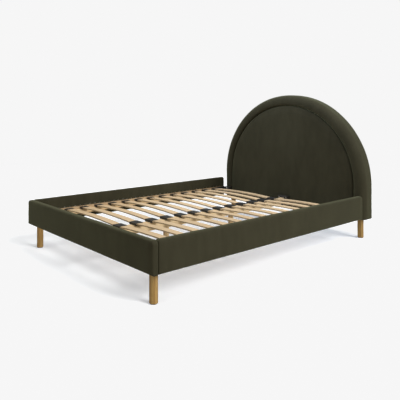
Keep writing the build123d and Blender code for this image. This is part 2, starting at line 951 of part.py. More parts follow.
save("foot_right_leg", [corner_leg(leg_x, foot_leg_y, foot_leg_top)])
save("foot_left_leg", [corner_leg(-leg_x, foot_leg_y, foot_leg_top)])
save("head_right_leg", [corner_leg(leg_x, head_leg_y, head_leg_top)])
save("head_left_leg", [corner_leg(-leg_x, head_leg_y, head_leg_top)])
save("felt_pads", both_sides(felt_pad(leg_x, foot_leg_y)) + both_sides(felt_pad(leg_x, head_leg_y)))
save("leg_studs", leg_studs())
save("centre_legs", [centre_leg(y) for y in centre_leg_rows()])
save("centre_leg_sleeves", [leg_sleeve(y) for y in centre_leg_rows()])
for number, y in enumerate(centre_leg_rows(), start=1):
    save(f"screw_foot_{number}_stud", [foot_stud(y)])
    save(f"screw_foot_{number}_disc", [foot_disc(y)])
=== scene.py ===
import logging
import math
from collections.abc import Callable, Iterable, Sequence
from dataclasses import dataclass, field
from enum import Enum

import bmesh
import bpy
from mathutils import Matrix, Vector, noise


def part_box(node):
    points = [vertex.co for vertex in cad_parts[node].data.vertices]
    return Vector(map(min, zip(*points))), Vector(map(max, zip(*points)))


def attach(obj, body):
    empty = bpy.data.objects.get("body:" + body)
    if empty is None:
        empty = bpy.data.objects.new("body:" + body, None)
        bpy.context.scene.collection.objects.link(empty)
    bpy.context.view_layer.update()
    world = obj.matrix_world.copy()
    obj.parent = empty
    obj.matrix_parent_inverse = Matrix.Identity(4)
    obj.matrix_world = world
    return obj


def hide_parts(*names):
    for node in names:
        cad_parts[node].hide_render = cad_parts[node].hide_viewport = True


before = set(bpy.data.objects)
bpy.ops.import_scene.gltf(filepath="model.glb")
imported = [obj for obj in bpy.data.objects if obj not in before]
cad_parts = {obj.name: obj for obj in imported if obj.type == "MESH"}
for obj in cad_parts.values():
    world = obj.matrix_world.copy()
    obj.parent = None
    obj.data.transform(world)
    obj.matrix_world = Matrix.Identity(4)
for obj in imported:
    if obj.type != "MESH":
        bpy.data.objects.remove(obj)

log = logging.getLogger("bed")

Piece = bpy.types.Object
Material = bpy.types.Material
Socket = bpy.types.NodeSocket
Pair = tuple[float, float]
Point = tuple[float, float, float]
Colour = tuple[float, float, float]

# A spot is a place and a turn. A wave is a height, a size and what it adds to a pattern's seed.
Spot = tuple[Point, Point]
Wave = tuple[float, float, float]

BODY = "bed_frame"
BLOCKS = "headboard_mounting_blocks"
FOOT_LEGS = ("foot_right_leg", "foot_left_leg")
HEAD_LEGS = ("head_right_leg", "head_left_leg")
ORIGIN = (0.0, 0.0, 0.0)
QUARTER = math.pi / 2

# Points nearer to each other than these, in metres, count as one: on a whole form, and after a cut.
SAME_PLACE = 1e-5
CUT_SCRAP = 2e-6

# How velvet over foam behaves in the cloth simulation.
CLOTH_FRAMES = 20
CLOTH_QUALITY = 5
CLOTH_MASS = 0.35
CLOTH_STRETCH = 40
CLOTH_SHEAR = 15
CLOTH_BENDING = 8

# Points that are calmed by less than this share give the mean move for the calmed ones.
CALM_RING = 0.3


def extent(node: str) -> tuple[Point, Point]:
    """The lowest and highest corners of one of the frame's nodes, to a hundredth of a millimetre."""
    low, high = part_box(node)
    return tuple(round(value, 5) for value in low), tuple(round(value, 5) for value in high)


def leg_place(node: str) -> Point:
    """Where a leg's axis meets the floor, to a tenth of a millimetre."""
    low, high = extent(node)
    return round((low[0] + high[0]) / 2, 4), round((low[1] + high[1]) / 2, 4), 0.0


# Hand tools: each one works on the selection, as it would by hand.


def clear() -> None:
    """Deselect every object, so that a new primitive is selected alone."""
    bpy.ops.object.select_all(action="DESELECT")


def only(piece: Piece) -> None:
    """Select one object alone and make it the active one.

    Args:
        piece: The object to work on.
    """
    if bpy.context.mode != "OBJECT":
        bpy.ops.object.mode_set(mode="OBJECT")
    clear()
    piece.select_set(True)
    bpy.context.view_layer.objects.active = piece


def active(name: str) -> Piece:
    """Name the object that the last operator added.

    Args:
        name: The piece's name.

    Returns:
        The object.
    """
    piece = bpy.context.active_object
    piece.name = name
    piece.data.name = name
    return piece


def settle(piece: Piece) -> None:
    """Put an object's place, turn and scale into its mesh."""
    only(piece)
    bpy.ops.object.transform_apply(location=True, rotation=True, scale=True)


def edit(piece: Piece, kind: str = "VERT") -> None:
    """Enter edit mode on one object with nothing selected.

    Args:
        piece: The object to edit.
        kind: What is selected: VERT, EDGE or FACE.
    """
    only(piece)
    bpy.ops.object.mode_set(mode="EDIT")
    bpy.ops.mesh.select_mode(type=kind)
    bpy.ops.mesh.select_all(action="DESELECT")


def done() -> None:
    """Leave edit mode."""
    bpy.ops.object.mode_set(mode="OBJECT")


def pick(piece: Piece, kind: str, test: Callable[..., bool]) -> int:
    """Select the vertices, edges or faces that pass a test, in edit mode.

    Args:
        piece: The object in edit mode.
        kind: VERT, EDGE or FACE.
        test: Takes a bmesh vertex, edge or face and says whether it is wanted.

    Returns:
        How many were selected.
    """
    bpy.ops.mesh.select_mode(type=kind)
    bpy.ops.mesh.select_all(action="DESELECT")
    mesh = bmesh.from_edit_mesh(piece.data)
    pool = {"VERT": mesh.verts, "EDGE": mesh.edges, "FACE": mesh.faces}[kind]
    count = 0
    for item in pool:
        if test(item):
            item.select_set(True)
            count += 1
    mesh.select_flush_mode()
    bmesh.update_edit_mesh(piece.data)
    return count


def extrude(step: Sequence[float], times: int = 1) -> None:
    """Extrude what is selected, in edit mode.

    Args:
        step: How far it moves each time.
        times: How many times it is extruded.
    """
    for _ in range(times):
        bpy.ops.mesh.extrude_region_move(TRANSFORM_OT_translate={"value": step})


def slab(name: str, low: Point, high: Point) -> Piece:
    """Add a block between two corners.

    Args:
        name: The block's name.
        low: Its lowest corner.
        high: Its highest corner.

    Returns:
        The block, with its place in its mesh.
    """
    clear()
    middle = [(a + b) / 2 for a, b in zip(low, high)]
    size = [b - a for a, b in zip(low, high)]
    bpy.ops.mesh.primitive_cube_add(size=1, location=middle, scale=size)
    piece = active(name)
    settle(piece)
    return piece


def prism(name: str, sides: int, radius: float, depth: float, place: Point) -> Piece:
    """Add an upright prism, or a cylinder if it has many sides.

    Args:
        name: Its name.
        sides: How many sides it has.
        radius: Its radius.
        depth: Its height.
        place: Its middle.

    Returns:
        The prism, with its place in its mesh.
    """
    clear()
    bpy.ops.mesh.primitive_cylinder_add(vertices=sides, radius=radius, depth=depth, location=place)
    piece = active(name)
    settle(piece)
    return piece


def trace(name: str, points: Sequence[Point], closed: bool) -> Piece:
    """Draw an outline by extruding a vertex from point to point.

    Args:
        name: The outline's name.
        points: The points in order.
        closed: Whether the last point joins the first.

    Returns:
        The outline, left in edit mode with all of it selected.
    """
    clear()
    bpy.ops.mesh.primitive_plane_add(size=0.01, location=points[0])
    piece = active(name)
    settle(piece)
    edit(piece)
    bpy.ops.mesh.select_all(action="SELECT")
    bpy.ops.mesh.merge(type="CENTER")
    for before, after in zip(points, points[1:]):
        extrude([b - a for a, b in zip(before, after)])
    if closed:
        ends = (Vector(points[0]), Vector(points[-1]))
        pick(piece, "VERT", lambda v: min((v.co - end).length for end in ends) < SAME_PLACE)
        bpy.ops.mesh.edge_face_add()
    bpy.ops.mesh.select_all(action="SELECT")
    return piece


def outward() -> None:
    """Close seams and turn every face outwards, in edit mode."""
    bpy.ops.mesh.select_all(action="SELECT")
    bpy.ops.mesh.remove_doubles(threshold=SAME_PLACE)
    bpy.ops.mesh.normals_make_consistent(inside=False)


def smooth(piece: Piece, degrees: float = 40.0) -> None:
    """Shade a piece smooth, but for edges sharper than an angle in degrees."""
    only(piece)
    bpy.ops.object.shade_smooth_by_angle(angle=math.radians(degrees))


def combine(piece: Piece, tool: Piece, way: str) -> None:
    """Cut another object out of a piece, or add it to the piece, and remove it.

    Args:
        piece: The piece.
        tool: The other object.
        way: DIFFERENCE or UNION.
    """
    only(piece)
    change = piece.modifiers.new("combine", "BOOLEAN")
    change.operation = way
    change.solver = "EXACT"
    change.object = tool
    bpy.ops.object.modifier_apply(modifier=change.name)
    bpy.data.objects.remove(tool)


def carve(piece: Piece, tools: Iterable[Piece]) -> None:
    """Cut other objects out of a piece and remove them.

    Args:
        piece: The piece to cut.
        tools: The objects whose space is cut out.
    """
    for tool in tools:
        combine(piece, tool, "DIFFERENCE")
    edit(piece)
    bpy.ops.mesh.select_all(action="SELECT")
    bpy.ops.mesh.remove_doubles(threshold=CUT_SCRAP)
    done()


def bevel_edges(piece: Piece, test: Callable[..., bool], width: float, steps: int) -> None:
    """Round the edges that pass a test.

    Args:
        piece: The piece to round.
        test: Takes a bmesh edge.
        width: The rounding's radius.
        steps: How many faces the rounding has.
    """
    edit(piece, "EDGE")
    if pick(piece, "EDGE", test):
        bpy.ops.mesh.bevel(offset=width, segments=steps, affect="EDGES", offset_type="OFFSET")
    done()


def join(name: str, pieces: Sequence[Piece]) -> Piece:
    """Join objects into one.

    Args:
        name: The joined piece's name.
        pieces: The objects, of which the first stays.

    Returns:
        The joined piece.
    """
    only(pieces[0])
    for piece in pieces:
        piece.select_set(True)
    bpy.ops.object.join()
    return active(name)


def turned(name: str, profile: Sequence[Pair], steps: int) -> Piece:
    """Turn a section right round the Z axis, as on a lathe.

    Args:
        name: The piece's name.
        profile: Points in radius and height, from the axis out and back to the axis.
        steps: How many sides the turned piece has.

    Returns:
        The closed piece.
    """
    piece = trace(name, [(radius, 0.0, height) for radius, height in profile], False)
    bpy.ops.mesh.spin(steps=steps, angle=2 * math.pi, center=(0, 0, 0), axis=(0, 0, 1))
    outward()
    done()
    return piece


def copy_to(name: str, piece: Piece, spots: Sequence[Spot]) -> Piece:
    """Copy a piece to each spot, each copy with its own mesh, and join the copies.

    Args:
        name: The joined piece's name.
        piece: The piece, modelled at the origin. It is removed in the end.
        spots: Where the copies go and how they are turned, in radians.

    Returns:
        The joined copies.
    """
    copies = []
    for place, turn in spots:
        only(piece)
        bpy.ops.object.duplicate(linked=False)
        copy = bpy.context.active_object
        copy.location = place
        copy.rotation_euler = turn
        copies.append(copy)
    bpy.data.objects.remove(piece)
    piece = join(name, copies)
    settle(piece)
    return piece


def arc(centre: Pair, radius: float, start: float, end: float, steps: int) -> list[Pair]:
    """Points along an arc in radius and depth, with angles from outwards towards the front.

    Args:
        centre: The arc's centre.
        radius: Its radius.
        start: The first angle in degrees.
        end: The last angle in degrees.
        steps: How many steps it takes.

    Returns:
        The points, both ends included.
    """
    points = []
    for index in range(steps + 1):
        turn = math.radians(start + (end - start) * index / steps)
        points.append((centre[0] + radius * math.cos(turn), centre[1] - radius * math.sin(turn)))
    return points


def run(start: Pair, end: Pair, steps: int) -> list[Pair]:
    """The points that divide a straight run into steps, both ends left out."""
    shares = [index / steps for index in range(1, steps)]
    return [(start[0] + (end[0] - start[0]) * s, start[1] + (end[1] - start[1]) * s) for s in shares]


def nudge(piece: Piece, push: Callable[[Vector, Vector], Vector]) -> None:
    """Move every vertex of a piece by a small amount, as a hand would press cloth.

    Args:
        piece: The piece.
        push: Takes a vertex's place and normal and gives its move.
    """
    mesh = piece.data
    moves = [push(vertex.co.copy(), vertex.normal.copy()) for vertex in mesh.vertices]
    for vertex, move in zip(mesh.vertices, moves):
        vertex.co += move
    mesh.update()


def ripple(place: Vector, size: float, seed: float) -> float:
    """Soft unevenness between -1 and 1, whose hollows lie a size apart in metres."""
    return noise.noise(place / size + Vector((seed, 1.7 * seed, 0.3 * seed)))


def uneven(place: Vector, waves: Sequence[Wave], seed: float) -> float:
    """Ripples added up, each with a height, a size and what it adds to the seed."""
    return sum(height * ripple(place, size, seed + shift) for height, size, shift in waves)


def swell(
    piece: Piece,
    held: Callable[[Vector], bool],
    pressure: float,
    cap: float,
    calm: Callable[[Vector], float] = lambda place: 0.0,
) -> None:
    """Let the foam press the cloth outwards in a cloth simulation, and keep the result.

    Args:
        piece: The closed piece.
        held: Says whether a point is glued or sewn down.
        pressure: The foam's pressure.
        cap: The most that a point may move, in metres.
        calm: How much of a point's move is the mean move round it, from none to one.
    """
    only(piece)
    before = [vertex.co.copy() for vertex in piece.data.vertices]
    group = piece.vertex_groups.new(name="held")
    group.add([index for index, place in enumerate(before) if held(place)], 1.0, "REPLACE")
    cloth = piece.modifiers.new("swell", "CLOTH")
    settings = cloth.settings
    settings.quality = CLOTH_QUALITY
    settings.mass = CLOTH_MASS
    settings.tension_stiffness = CLOTH_STRETCH
    settings.compression_stiffness = CLOTH_STRETCH
    settings.shear_stiffness = CLOTH_SHEAR
    settings.bending_stiffness = CLOTH_BENDING
    settings.use_pressure = True
    settings.uniform_pressure_force = pressure
    settings.vertex_group_mass = group.name
    settings.effector_weights.gravity = 0
    cloth.point_cache.frame_end = CLOTH_FRAMES
    for frame_number in range(1, CLOTH_FRAMES + 1):
        bpy.context.scene.frame_set(frame_number)
    bpy.ops.object.modifier_apply(modifier=cloth.name)
    bpy.context.scene.frame_set(1)
    moves = []
    for vertex, place in zip(piece.data.vertices, before):
        move = vertex.co - place
        moves.append(move * (cap * math.tanh(move.length / cap) / max(move.length, 1e-9)))
    shares = [calm(place) for place in before]
    ring = [move for move, share in zip(moves, shares) if 0.0 < share < CALM_RING]
    mean = sum(ring, Vector()) / max(len(ring), 1)
    for vertex, place, move, share in zip(piece.data.vertices, before, moves, shares):
        vertex.co = place + move.lerp(mean, share)
    piece.vertex_groups.clear()
    piece.data.update()


# Materials: a small drawing board for shader nodes, then one class for each finish.


class Graph:
    """Draws one material's nodes."""

    def __init__(self, name: str) -> None:
        """Start a material with one shader.

        Args:
            name: The material's name.
        """
        self.material = bpy.data.materials.new(name)
        self.material.use_nodes = True
        self.tree = self.material.node_tree
        self.tree.nodes.clear()
        self.shader = self.tree.nodes.new("ShaderNodeBsdfPrincipled")
        self.output = self.tree.nodes.new("ShaderNodeOutputMaterial")
        self.tree.links.new(self.shader.outputs["BSDF"], self.output.inputs["Surface"])
        self.place = self.tree.nodes.new("ShaderNodeTexCoord").outputs["Object"]

    def put(self, node: bpy.types.Node, socket: str | int, value: object) -> None:
        """Link a socket, or set it.

        Args:
            node: The node.
            socket: The input's name or number.
            value: Another node's output, a number, a colour or a vector.
        """
        target = node.inputs[socket]
        if isinstance(value, Socket):
            self.tree.links.new(value, target)
        elif isinstance(value, tuple) and len(value) == 3 and target.type == "RGBA":
            target.default_value = (*value, 1.0)
        else:
            target.default_value = value

    def finish(self, **values: object) -> Material:
        """Set the shader's own sockets.

        Args:
            values: Socket names with underscores for spaces, and their values.

        Returns:
            The finished material.
        """
        for name, value in values.items():
            self.put(self.shader, name.replace("_", " ").title().replace("Ior", "IOR"), value)
        return self.material

    def math(self, operation: str, a: object, b: object = 0.0, clamp: bool = False) -> Socket:
        """One step of arithmetic.

        Args:
            operation: The Math node's operation.
            a: The first value.
            b: The second value.
            clamp: Whether the result is kept between 0 and 1.

        Returns:
            The result's socket.
        """
        node = self.tree.nodes.new("ShaderNodeMath")
        node.operation = operation
        node.use_clamp = clamp
        self.put(node, 0, a)
        self.put(node, 1, b)
        return node.outputs[0]

    def weigh(self, *parts: tuple[Socket, float]) -> Socket:
        """Values added up, each one times its weight.

        Args:
            parts: The values with their weights.

        Returns:
            The sum's socket.
        """
        shares = [self.math("MULTIPLY", value, weight) for value, weight in parts]
        total = shares[0]
        for share in shares[1:]:
            total = self.math("ADD", total, share)
        return total

    def stretch(self, scale: Point, shift: Point = ORIGIN, turn: Point = ORIGIN) -> Socket:
        """The object's own coordinates, stretched, moved and turned.

        Args:
            scale: The scale along each axis.
            shift: The move along each axis.
            turn: The turn about each axis in radians.

        Returns:
            The vector's socket.
        """
        node = self.tree.nodes.new("ShaderNodeMapping")
        self.put(node, "Vector", self.place)
        self.put(node, "Scale", scale)
        self.put(node, "Location", shift)
        self.put(node, "Rotation", turn)
        return node.outputs[0]

    def clouds(self, where: Socket, scale: float, detail: float = 2.0, warp: float = 0.0) -> Socket:
        """Noise between 0 and 1.

        Args:
            where: The coordinates.
            scale: Waves for each metre.
            detail: How many finer layers it has.
            warp: How much it is distorted.

        Returns:
            The noise's socket.
        """
        node = self.tree.nodes.new("ShaderNodeTexNoise")
        self.put(node, "Vector", where)
        self.put(node, "Scale", scale)
        self.put(node, "Detail", detail)
        self.put(node, "Distortion", warp)
        return node.outputs[0]

    def cells(self, where: Socket, scale: float) -> bpy.types.Node:
        """Scattered cells.

        Args:
            where: The coordinates.
            scale: Cells for each metre.

        Returns:
            The node, with Distance and Color outputs.
        """
        node = self.tree.nodes.new("ShaderNodeTexVoronoi")
        self.put(node, "Vector", where)
        self.put(node, "Scale", scale)
        return node

    def bands(self, where: Socket, scale: float, axis: str, warp: float) -> Socket:
        """Soft stripes across an axis.

        Args:
            where: The coordinates.
            scale: The stripes' scale.
            axis: X, Y or Z.
            warp: How much they are distorted.

        Returns:
            The stripes' socket.
        """
        node = self.tree.nodes.new("ShaderNodeTexWave")
        node.bands_direction = axis
        self.put(node, "Vector", where)
        self.put(node, "Scale", scale)
        self.put(node, "Distortion", warp)
        self.put(node, "Detail", 2.0)
        self.put(node, "Detail Scale", 1.5)
        return node.outputs["Fac"]

    def ramp(self, value: Socket, *stops: tuple[float, Colour]) -> Socket:
        """Colours along a value.

        Args:
            value: The value.
            stops: Places between 0 and 1 with their colours.

        Returns:
            The colour's socket.
        """
        node = self.tree.nodes.new("ShaderNodeValToRGB")
        points = node.color_ramp.elements
        while len(points) < len(stops):
            points.new(0.5)
        for point, (place, colour) in zip(points, stops):
            point.position = place
            point.color = (*colour, 1.0)
        self.put(node, "Fac", value)
        return node.outputs["Color"]

    def blend(self, share: object, a: object, b: object, way: str = "MIX") -> Socket:
        """Mix two colours.

        Args:
            share: How much of the second there is.
            a: The first colour.
            b: The second colour.
            way: The blend type.

        Returns:
            The mixed colour's socket.
        """
        node = self.tree.nodes.new("ShaderNodeMix")
        node.data_type = "RGBA"
        node.blend_type = way
        self.put(node, 0, share)
        self.put(node, 6, a)
        self.put(node, 7, b)
        return node.outputs[2]

    def spread(self, value: Socket, low: float, high: float) -> Socket:
        """Stretch a value from 0 to 1 to another span.

        Args:
            value: The value.
            low: What 0 becomes.
            high: What 1 becomes.

        Returns:
            The stretched value's socket.
        """
        node = self.tree.nodes.new("ShaderNodeMapRange")
        self.put(node, "Value", value)
        self.put(node, "To Min", low)
        self.put(node, "To Max", high)
        return node.outputs[0]

    def bump(self, height: Socket, depth: float, strength: float, under: Socket | None = None) -> Socket:
        """A bumped normal.

        Args:
            height: The height between 0 and 1.
            depth: The depth of a full step in metres.
            strength: How strong it is.
            under: Another bumped normal that this one adds to.

        Returns:
            The normal's socket.
        """
        node = self.tree.nodes.new("ShaderNodeBump")
        self.put(node, "Height", height)
        self.put(node, "Distance", depth)
        self.put(node, "Strength", strength)
        if under is not None:
            self.put(node, "Normal", under)
        return node.outputs["Normal"]

    def axis(self, source: Socket, name: str) -> Socket:
        """One axis of a vector.

        Args:
            source: The vector.
            name: X, Y or Z.

        Returns:
            The axis's socket.
        """
        node = self.tree.nodes.new("ShaderNodeSeparateXYZ")
        self.put(node, 0, source)
        return node.outputs[name]

    def facing(self) -> Socket:
        """The surface's own direction, without bumps."""
        node = self.tree.nodes.new("ShaderNodeNewGeometry")
        return node.outputs["True Normal"]

    def camera_sees(self) -> Socket:
        """One where the camera looks straight at the surface, none where light bounces off it."""
        return self.tree.nodes.new("ShaderNodeLightPath").outputs["Is Camera Ray"]


def shade(colour: Colour, factor: float) -> Colour:
    """A colour made darker or lighter."""
    return tuple(factor * part for part in colour)


class Along(Enum):
    """Which way a timber's grain runs."""

    X = 0
    Y = 1
    Z = 2

    def scale(self, length: float) -> Point:
        """A scale of one across the grain and of a smaller length along it."""
        return tuple(length if index == self.value else 1.0 for index in range(3))


@dataclass(frozen=True)
class Velvet:
    """Short-pile velvet with a nap that takes the light unevenly."""

    name: str = "olive_velvet"
    deep: Colour = (0.0262, 0.0238, 0.0123)
    lit: Colour = (0.0405, 0.0370, 0.0208)
    sheen: Colour = (0.58, 0.64, 0.40)
    stroke_scale: float = 3.2
    brush_scale: float = 22.0
    pile_scale: float = 1400.0
    pile_dark: Colour = (0.72, 0.72, 0.72)
    pile_light: Colour = (1.22, 1.22, 1.22)

    def make(self) -> Material:
        """Draw the velvet.

        Returns:
            The material.
        """
        graph = Graph(self.name)
        stroked = graph.clouds(graph.stretch((1.0, 1.0, 0.55)), self.stroke_scale, detail=3.0, warp=0.6)
        across = graph.stretch((1.0, 1.0, 0.35), shift=(3.0, 1.0, 2.0))
        brushed = graph.clouds(across, self.brush_scale, detail=3.0, warp=0.4)
        pile = graph.clouds(graph.place, self.pile_scale)
        cloth = graph.ramp(graph.weigh((stroked, 0.55), (brushed, 0.45)), (0.30, self.deep), (0.70, self.lit))
        speckle = graph.ramp(pile, (0.25, self.pile_dark), (0.75, self.pile_light))
        nap = graph.bump(brushed, depth=0.002, strength=0.12)
        return graph.finish(
            base_color=graph.blend(1.0, cloth, speckle, "MULTIPLY"),
            roughness=0.82,
            specular_ior_level=0.18,
            sheen_weight=0.32,
            sheen_roughness=0.40,
            sheen_tint=self.sheen,
            normal=graph.bump(pile, depth=0.0006, strength=0.5, under=nap),
        )


@dataclass(frozen=True)
class Lining:
    """Plain woven cloth in a dark colour."""

    name: str = "lining_cloth"
    colour: Colour = (0.033, 0.032, 0.021)
    threads: float = 620.0
    slub_scale: float = 60.0

    def make(self) -> Material:
        """Draw the cloth's threads and its soft creases.

        Returns:
            The material.
        """
        graph = Graph(self.name)
        rows = []
        for name in ("X", "Z"):
            turn = graph.math("MULTIPLY", graph.axis(graph.place, name), self.threads * math.pi)
            rows.append(graph.math("SINE", turn))
        weave = graph.math("MULTIPLY", *rows)
        slub = graph.clouds(graph.stretch((1.0, 1.0, 9.0)), self.slub_scale, detail=3.0)
        creases = graph.bump(slub, depth=0.001, strength=0.2)
        return graph.finish(
            base_color=graph.ramp(slub, (0.3, shade(self.colour, 0.75)), (0.7, shade(self.colour, 1.3))),
            roughness=0.93,
            specular_ior_level=0.15,
            sheen_weight=0.15,
            normal=graph.bump(weave, depth=0.0003, strength=0.5, under=creases),
        )


@dataclass(frozen=True)
class Timber:
    """Sawn or turned wood with grain, rings, pores and, in softwood, knots."""

    name: str
    grain: Along
    light: Colour
    dark: Colour
    roughness: float
    rings: float = 24.0
    pores: float = 0.0
    knots: float = 0.0
    turn: Point = ORIGIN
    ring_warp: float = 5.5
    drift_scale: float = 14.0
    fibre_scale: float = 620.0
    pore_scale: float = 900.0
    pore_limit: float = 0.66
    knot_scale: float = 5.0
    knot_width: float = 9.0

    def make(self) -> Material:
        """Draw the wood.

        Returns:
            The material.
        """
        graph = Graph(self.name)
        axis = "X" if self.grain is not Along.X else "Y"
        slow = graph.stretch(self.grain.scale(0.06), shift=(0.37, 0.11, 0.05), turn=self.turn)
        rings = graph.bands(slow, self.rings, axis, self.ring_warp)
        drift = graph.clouds(graph.stretch(self.grain.scale(0.12)), self.drift_scale, detail=3.0)
        fibre = graph.clouds(graph.stretch(self.grain.scale(0.02)), self.fibre_scale, detail=3.0)
        tone = graph.weigh((rings, 0.42), (drift, 0.34), (fibre, 0.30))
        colour = graph.ramp(tone, (0.22, self.light), (0.86, self.dark))
        if self.pores:
            short = graph.stretch(self.grain.scale(0.035), shift=(2.0, 5.0, 1.0))
            pits = graph.clouds(short, self.pore_scale, detail=1.0)
            marks = graph.math("GREATER_THAN", pits, self.pore_limit)
            colour = graph.blend(graph.math("MULTIPLY", marks, self.pores), colour, shade(self.dark, 0.45))
        if self.knots:
            spots = graph.cells(graph.stretch(self.grain.scale(0.35)), self.knot_scale).outputs["Distance"]
            away = graph.math("MULTIPLY", spots, self.knot_width)
            core = graph.math("SUBTRACT", 1.0, away, clamp=True)
            colour = graph.blend(graph.math("MULTIPLY", core, self.knots), colour, shade(self.dark, 0.4))
        ridges = graph.bump(rings, depth=0.0004, strength=0.1)
        return graph.finish(
            base_color=colour,
            roughness=graph.spread(fibre, self.roughness - 0.06, self.roughness + 0.08),
            specular_ior_level=0.4,
            normal=graph.bump(fibre, depth=0.0002, strength=0.35, under=ridges),
        )


@dataclass(frozen=True)
class BentBirch:
    """Bonded birch veneers, with the glue lines on the slats' sides and ends."""

    name: str = "birch_veneer"
    light: Colour = (0.72, 0.56, 0.37)
    dark: Colour = (0.52, 0.36, 0.20)
    glue: Colour = (0.10, 0.055, 0.03)
    middle: float = 0.34325
    half: float = 0.33975
    rise: float = 0.012
    base: float = 0.225
    thickness: float = 0.008
    veneers: int = 7
    glue_share: float = 0.07
    side_limit: float = 0.6

    def make(self) -> Material:
        """Draw the veneers.

        Returns:
            The material.
        """
        graph = Graph(self.name)
        fibre = graph.clouds(graph.stretch((0.03, 1.0, 1.0)), scale=480.0, detail=3.0)
        broad = graph.stretch((0.22, 1.6, 1.0), shift=(1.0, 2.0, 0.0))
        figure = graph.clouds(broad, scale=16.0, detail=4.0, warp=1.4)
        board = graph.clouds(graph.stretch((0.05, 1.0, 0.05)), scale=9.0, detail=1.0)
        tone = graph.weigh((figure, 0.5), (fibre, 0.28), (board, 0.3))
        colour = graph.ramp(tone, (0.30, self.light), (0.82, self.dark))
        layer = self.layers(graph)
        odd = graph.math("PINGPONG", layer, 1.0)
        glue = graph.math("LESS_THAN", graph.math("PINGPONG", layer, 0.5), self.glue_share)
        upright = graph.math("ABSOLUTE", graph.axis(graph.facing(), "Z"))
        side = graph.math("LESS_THAN", upright, self.side_limit)
        edge = graph.blend(odd, self.light, shade(self.dark, 0.62))
        edge = graph.blend(glue, edge, self.glue)
        return graph.finish(
            base_color=graph.blend(side, colour, edge),
            roughness=graph.spread(fibre, low=0.36, high=0.52),
            specular_ior_level=0.45,
            normal=graph.bump(fibre, depth=0.0002, strength=0.3),
        )

    def layers(self, graph: Graph) -> Socket:
        """Count the veneers from the slat's bowed underside up.

        Args:
            graph: The material's graph.

        Returns:
            The count's socket.
        """
        out = graph.math("ABSOLUTE", graph.axis(graph.place, "X"))
        share = graph.math("DIVIDE", graph.math("SUBTRACT", out, self.middle), self.half)
        drop = graph.math("SUBTRACT", 1.0, graph.math("MULTIPLY", share, share))
        bow = graph.math("MULTIPLY", drop, self.rise)
        height = graph.math("SUBTRACT", graph.axis(graph.place, "Z"), self.base)
        return graph.math("MULTIPLY", graph.math("SUBTRACT", height, bow), self.veneers / self.thickness)


@dataclass(frozen=True)
class Chipboard:
    """Pressed wood chips, seen where the fabric leaves a panel's board bare."""

    name: str = "chipboard"
    light: Colour = (0.62, 0.47, 0.30)
    dark: Colour = (0.30, 0.19, 0.10)
    chip_scale: float = 260.0
    flake_scale: float = 120.0
    dust_scale: float = 900.0

    def make(self) -> Material:
        """Draw chips of several sizes and tones.

        Returns:
            The material.
        """
        graph = Graph(self.name)
        chips = graph.cells(graph.stretch((1.0, 1.0, 2.2)), self.chip_scale)
        flakes = graph.cells(graph.stretch((0.5, 0.5, 1.8), shift=(0.3, 0.1, 0.4)), self.flake_scale)
        fine = graph.axis(chips.outputs["Color"], "X")
        coarse = graph.axis(flakes.outputs["Color"], "Y")
        dust = graph.clouds(graph.place, self.dust_scale)
        tone = graph.weigh((fine, 0.45), (coarse, 0.35), (dust, 0.25))
        grit = graph.bump(dust, depth=0.0003, strength=0.3)
        return graph.finish(
            base_color=graph.ramp(tone, (0.2, self.dark), (0.85, self.light)),
            roughness=0.88,
            specular_ior_level=0.25,
            normal=graph.bump(chips.outputs["Distance"], depth=0.0006, strength=0.4, under=grit),
        )


@dataclass(frozen=True)
class Plastic:
    """Moulded plastic with a fine spark texture."""

    name: str = "moulded_plastic"
    colour: Colour = (0.017, 0.017, 0.018)

    def make(self) -> Material:
        """Draw the moulded surface.

        Returns:
            The material.
        """
        graph = Graph(self.name)
        spark = graph.clouds(graph.place, scale=1900.0)
        flow = graph.clouds(graph.place, scale=35.0)
        return graph.finish(
            base_color=graph.ramp(flow, (0.3, shade(self.colour, 0.8)), (0.7, shade(self.colour, 1.35))),
            roughness=graph.spread(flow, low=0.42, high=0.55),
            specular_ior_level=0.45,
            normal=graph.bump(spark, depth=0.0002, strength=0.4),
        )


@dataclass(frozen=True)
class PowderCoat:
    """Black powder coat with an orange-peel surface, thin and grey on rubbed places."""

    name: str = "powder_coat"
    colour: Colour = (0.020, 0.020, 0.021)
    worn: Colour = (0.12, 0.12, 0.12)
    worn_limit: float = 0.70
    worn_share: float = 0.4

    def make(self) -> Material:
        """Draw the coat.

        Returns:
            The material.
        """
        graph = Graph(self.name)
        peel = graph.clouds(graph.place, scale=420.0, detail=1.0)
        dust = graph.clouds(graph.place, scale=28.0, detail=4.0)
        patches = graph.clouds(graph.place, scale=60.0, detail=5.0)
        rubbed = graph.math("GREATER_THAN", patches, self.worn_limit)
        tone = graph.ramp(dust, (0.35, self.colour), (0.8, shade(self.colour, 2.2)))
        return graph.finish(
            base_color=graph.blend(graph.math("MULTIPLY", rubbed, self.worn_share), tone, self.worn),
            roughness=graph.spread(dust, low=0.38, high=0.56),
            specular_ior_level=0.5,
            normal=graph.bump(peel, depth=0.0003, strength=0.35),
        )


@dataclass(frozen=True)
class Zinc:
    """Bright zinc plate, a little clouded."""

    name: str = "zinc_plate"
    colour: Colour = (0.60, 0.60, 0.57)
    warm: Colour = (0.66, 0.62, 0.48)

    def make(self) -> Material:
        """Draw the plate.

        Returns:
            The material.
        """
        graph = Graph(self.name)
        cloud = graph.clouds(graph.place, scale=90.0, detail=4.0)
        fine = graph.clouds(graph.place, scale=1500.0)
        dull = shade(self.colour, 0.72)
        return graph.finish(
            base_color=graph.ramp(cloud, (0.3, dull), (0.65, self.colour), (0.85, self.warm)),
            metallic=1.0,
            roughness=graph.spread(cloud, low=0.24, high=0.42),
            normal=graph.bump(fine, depth=0.0001, strength=0.3),
        )


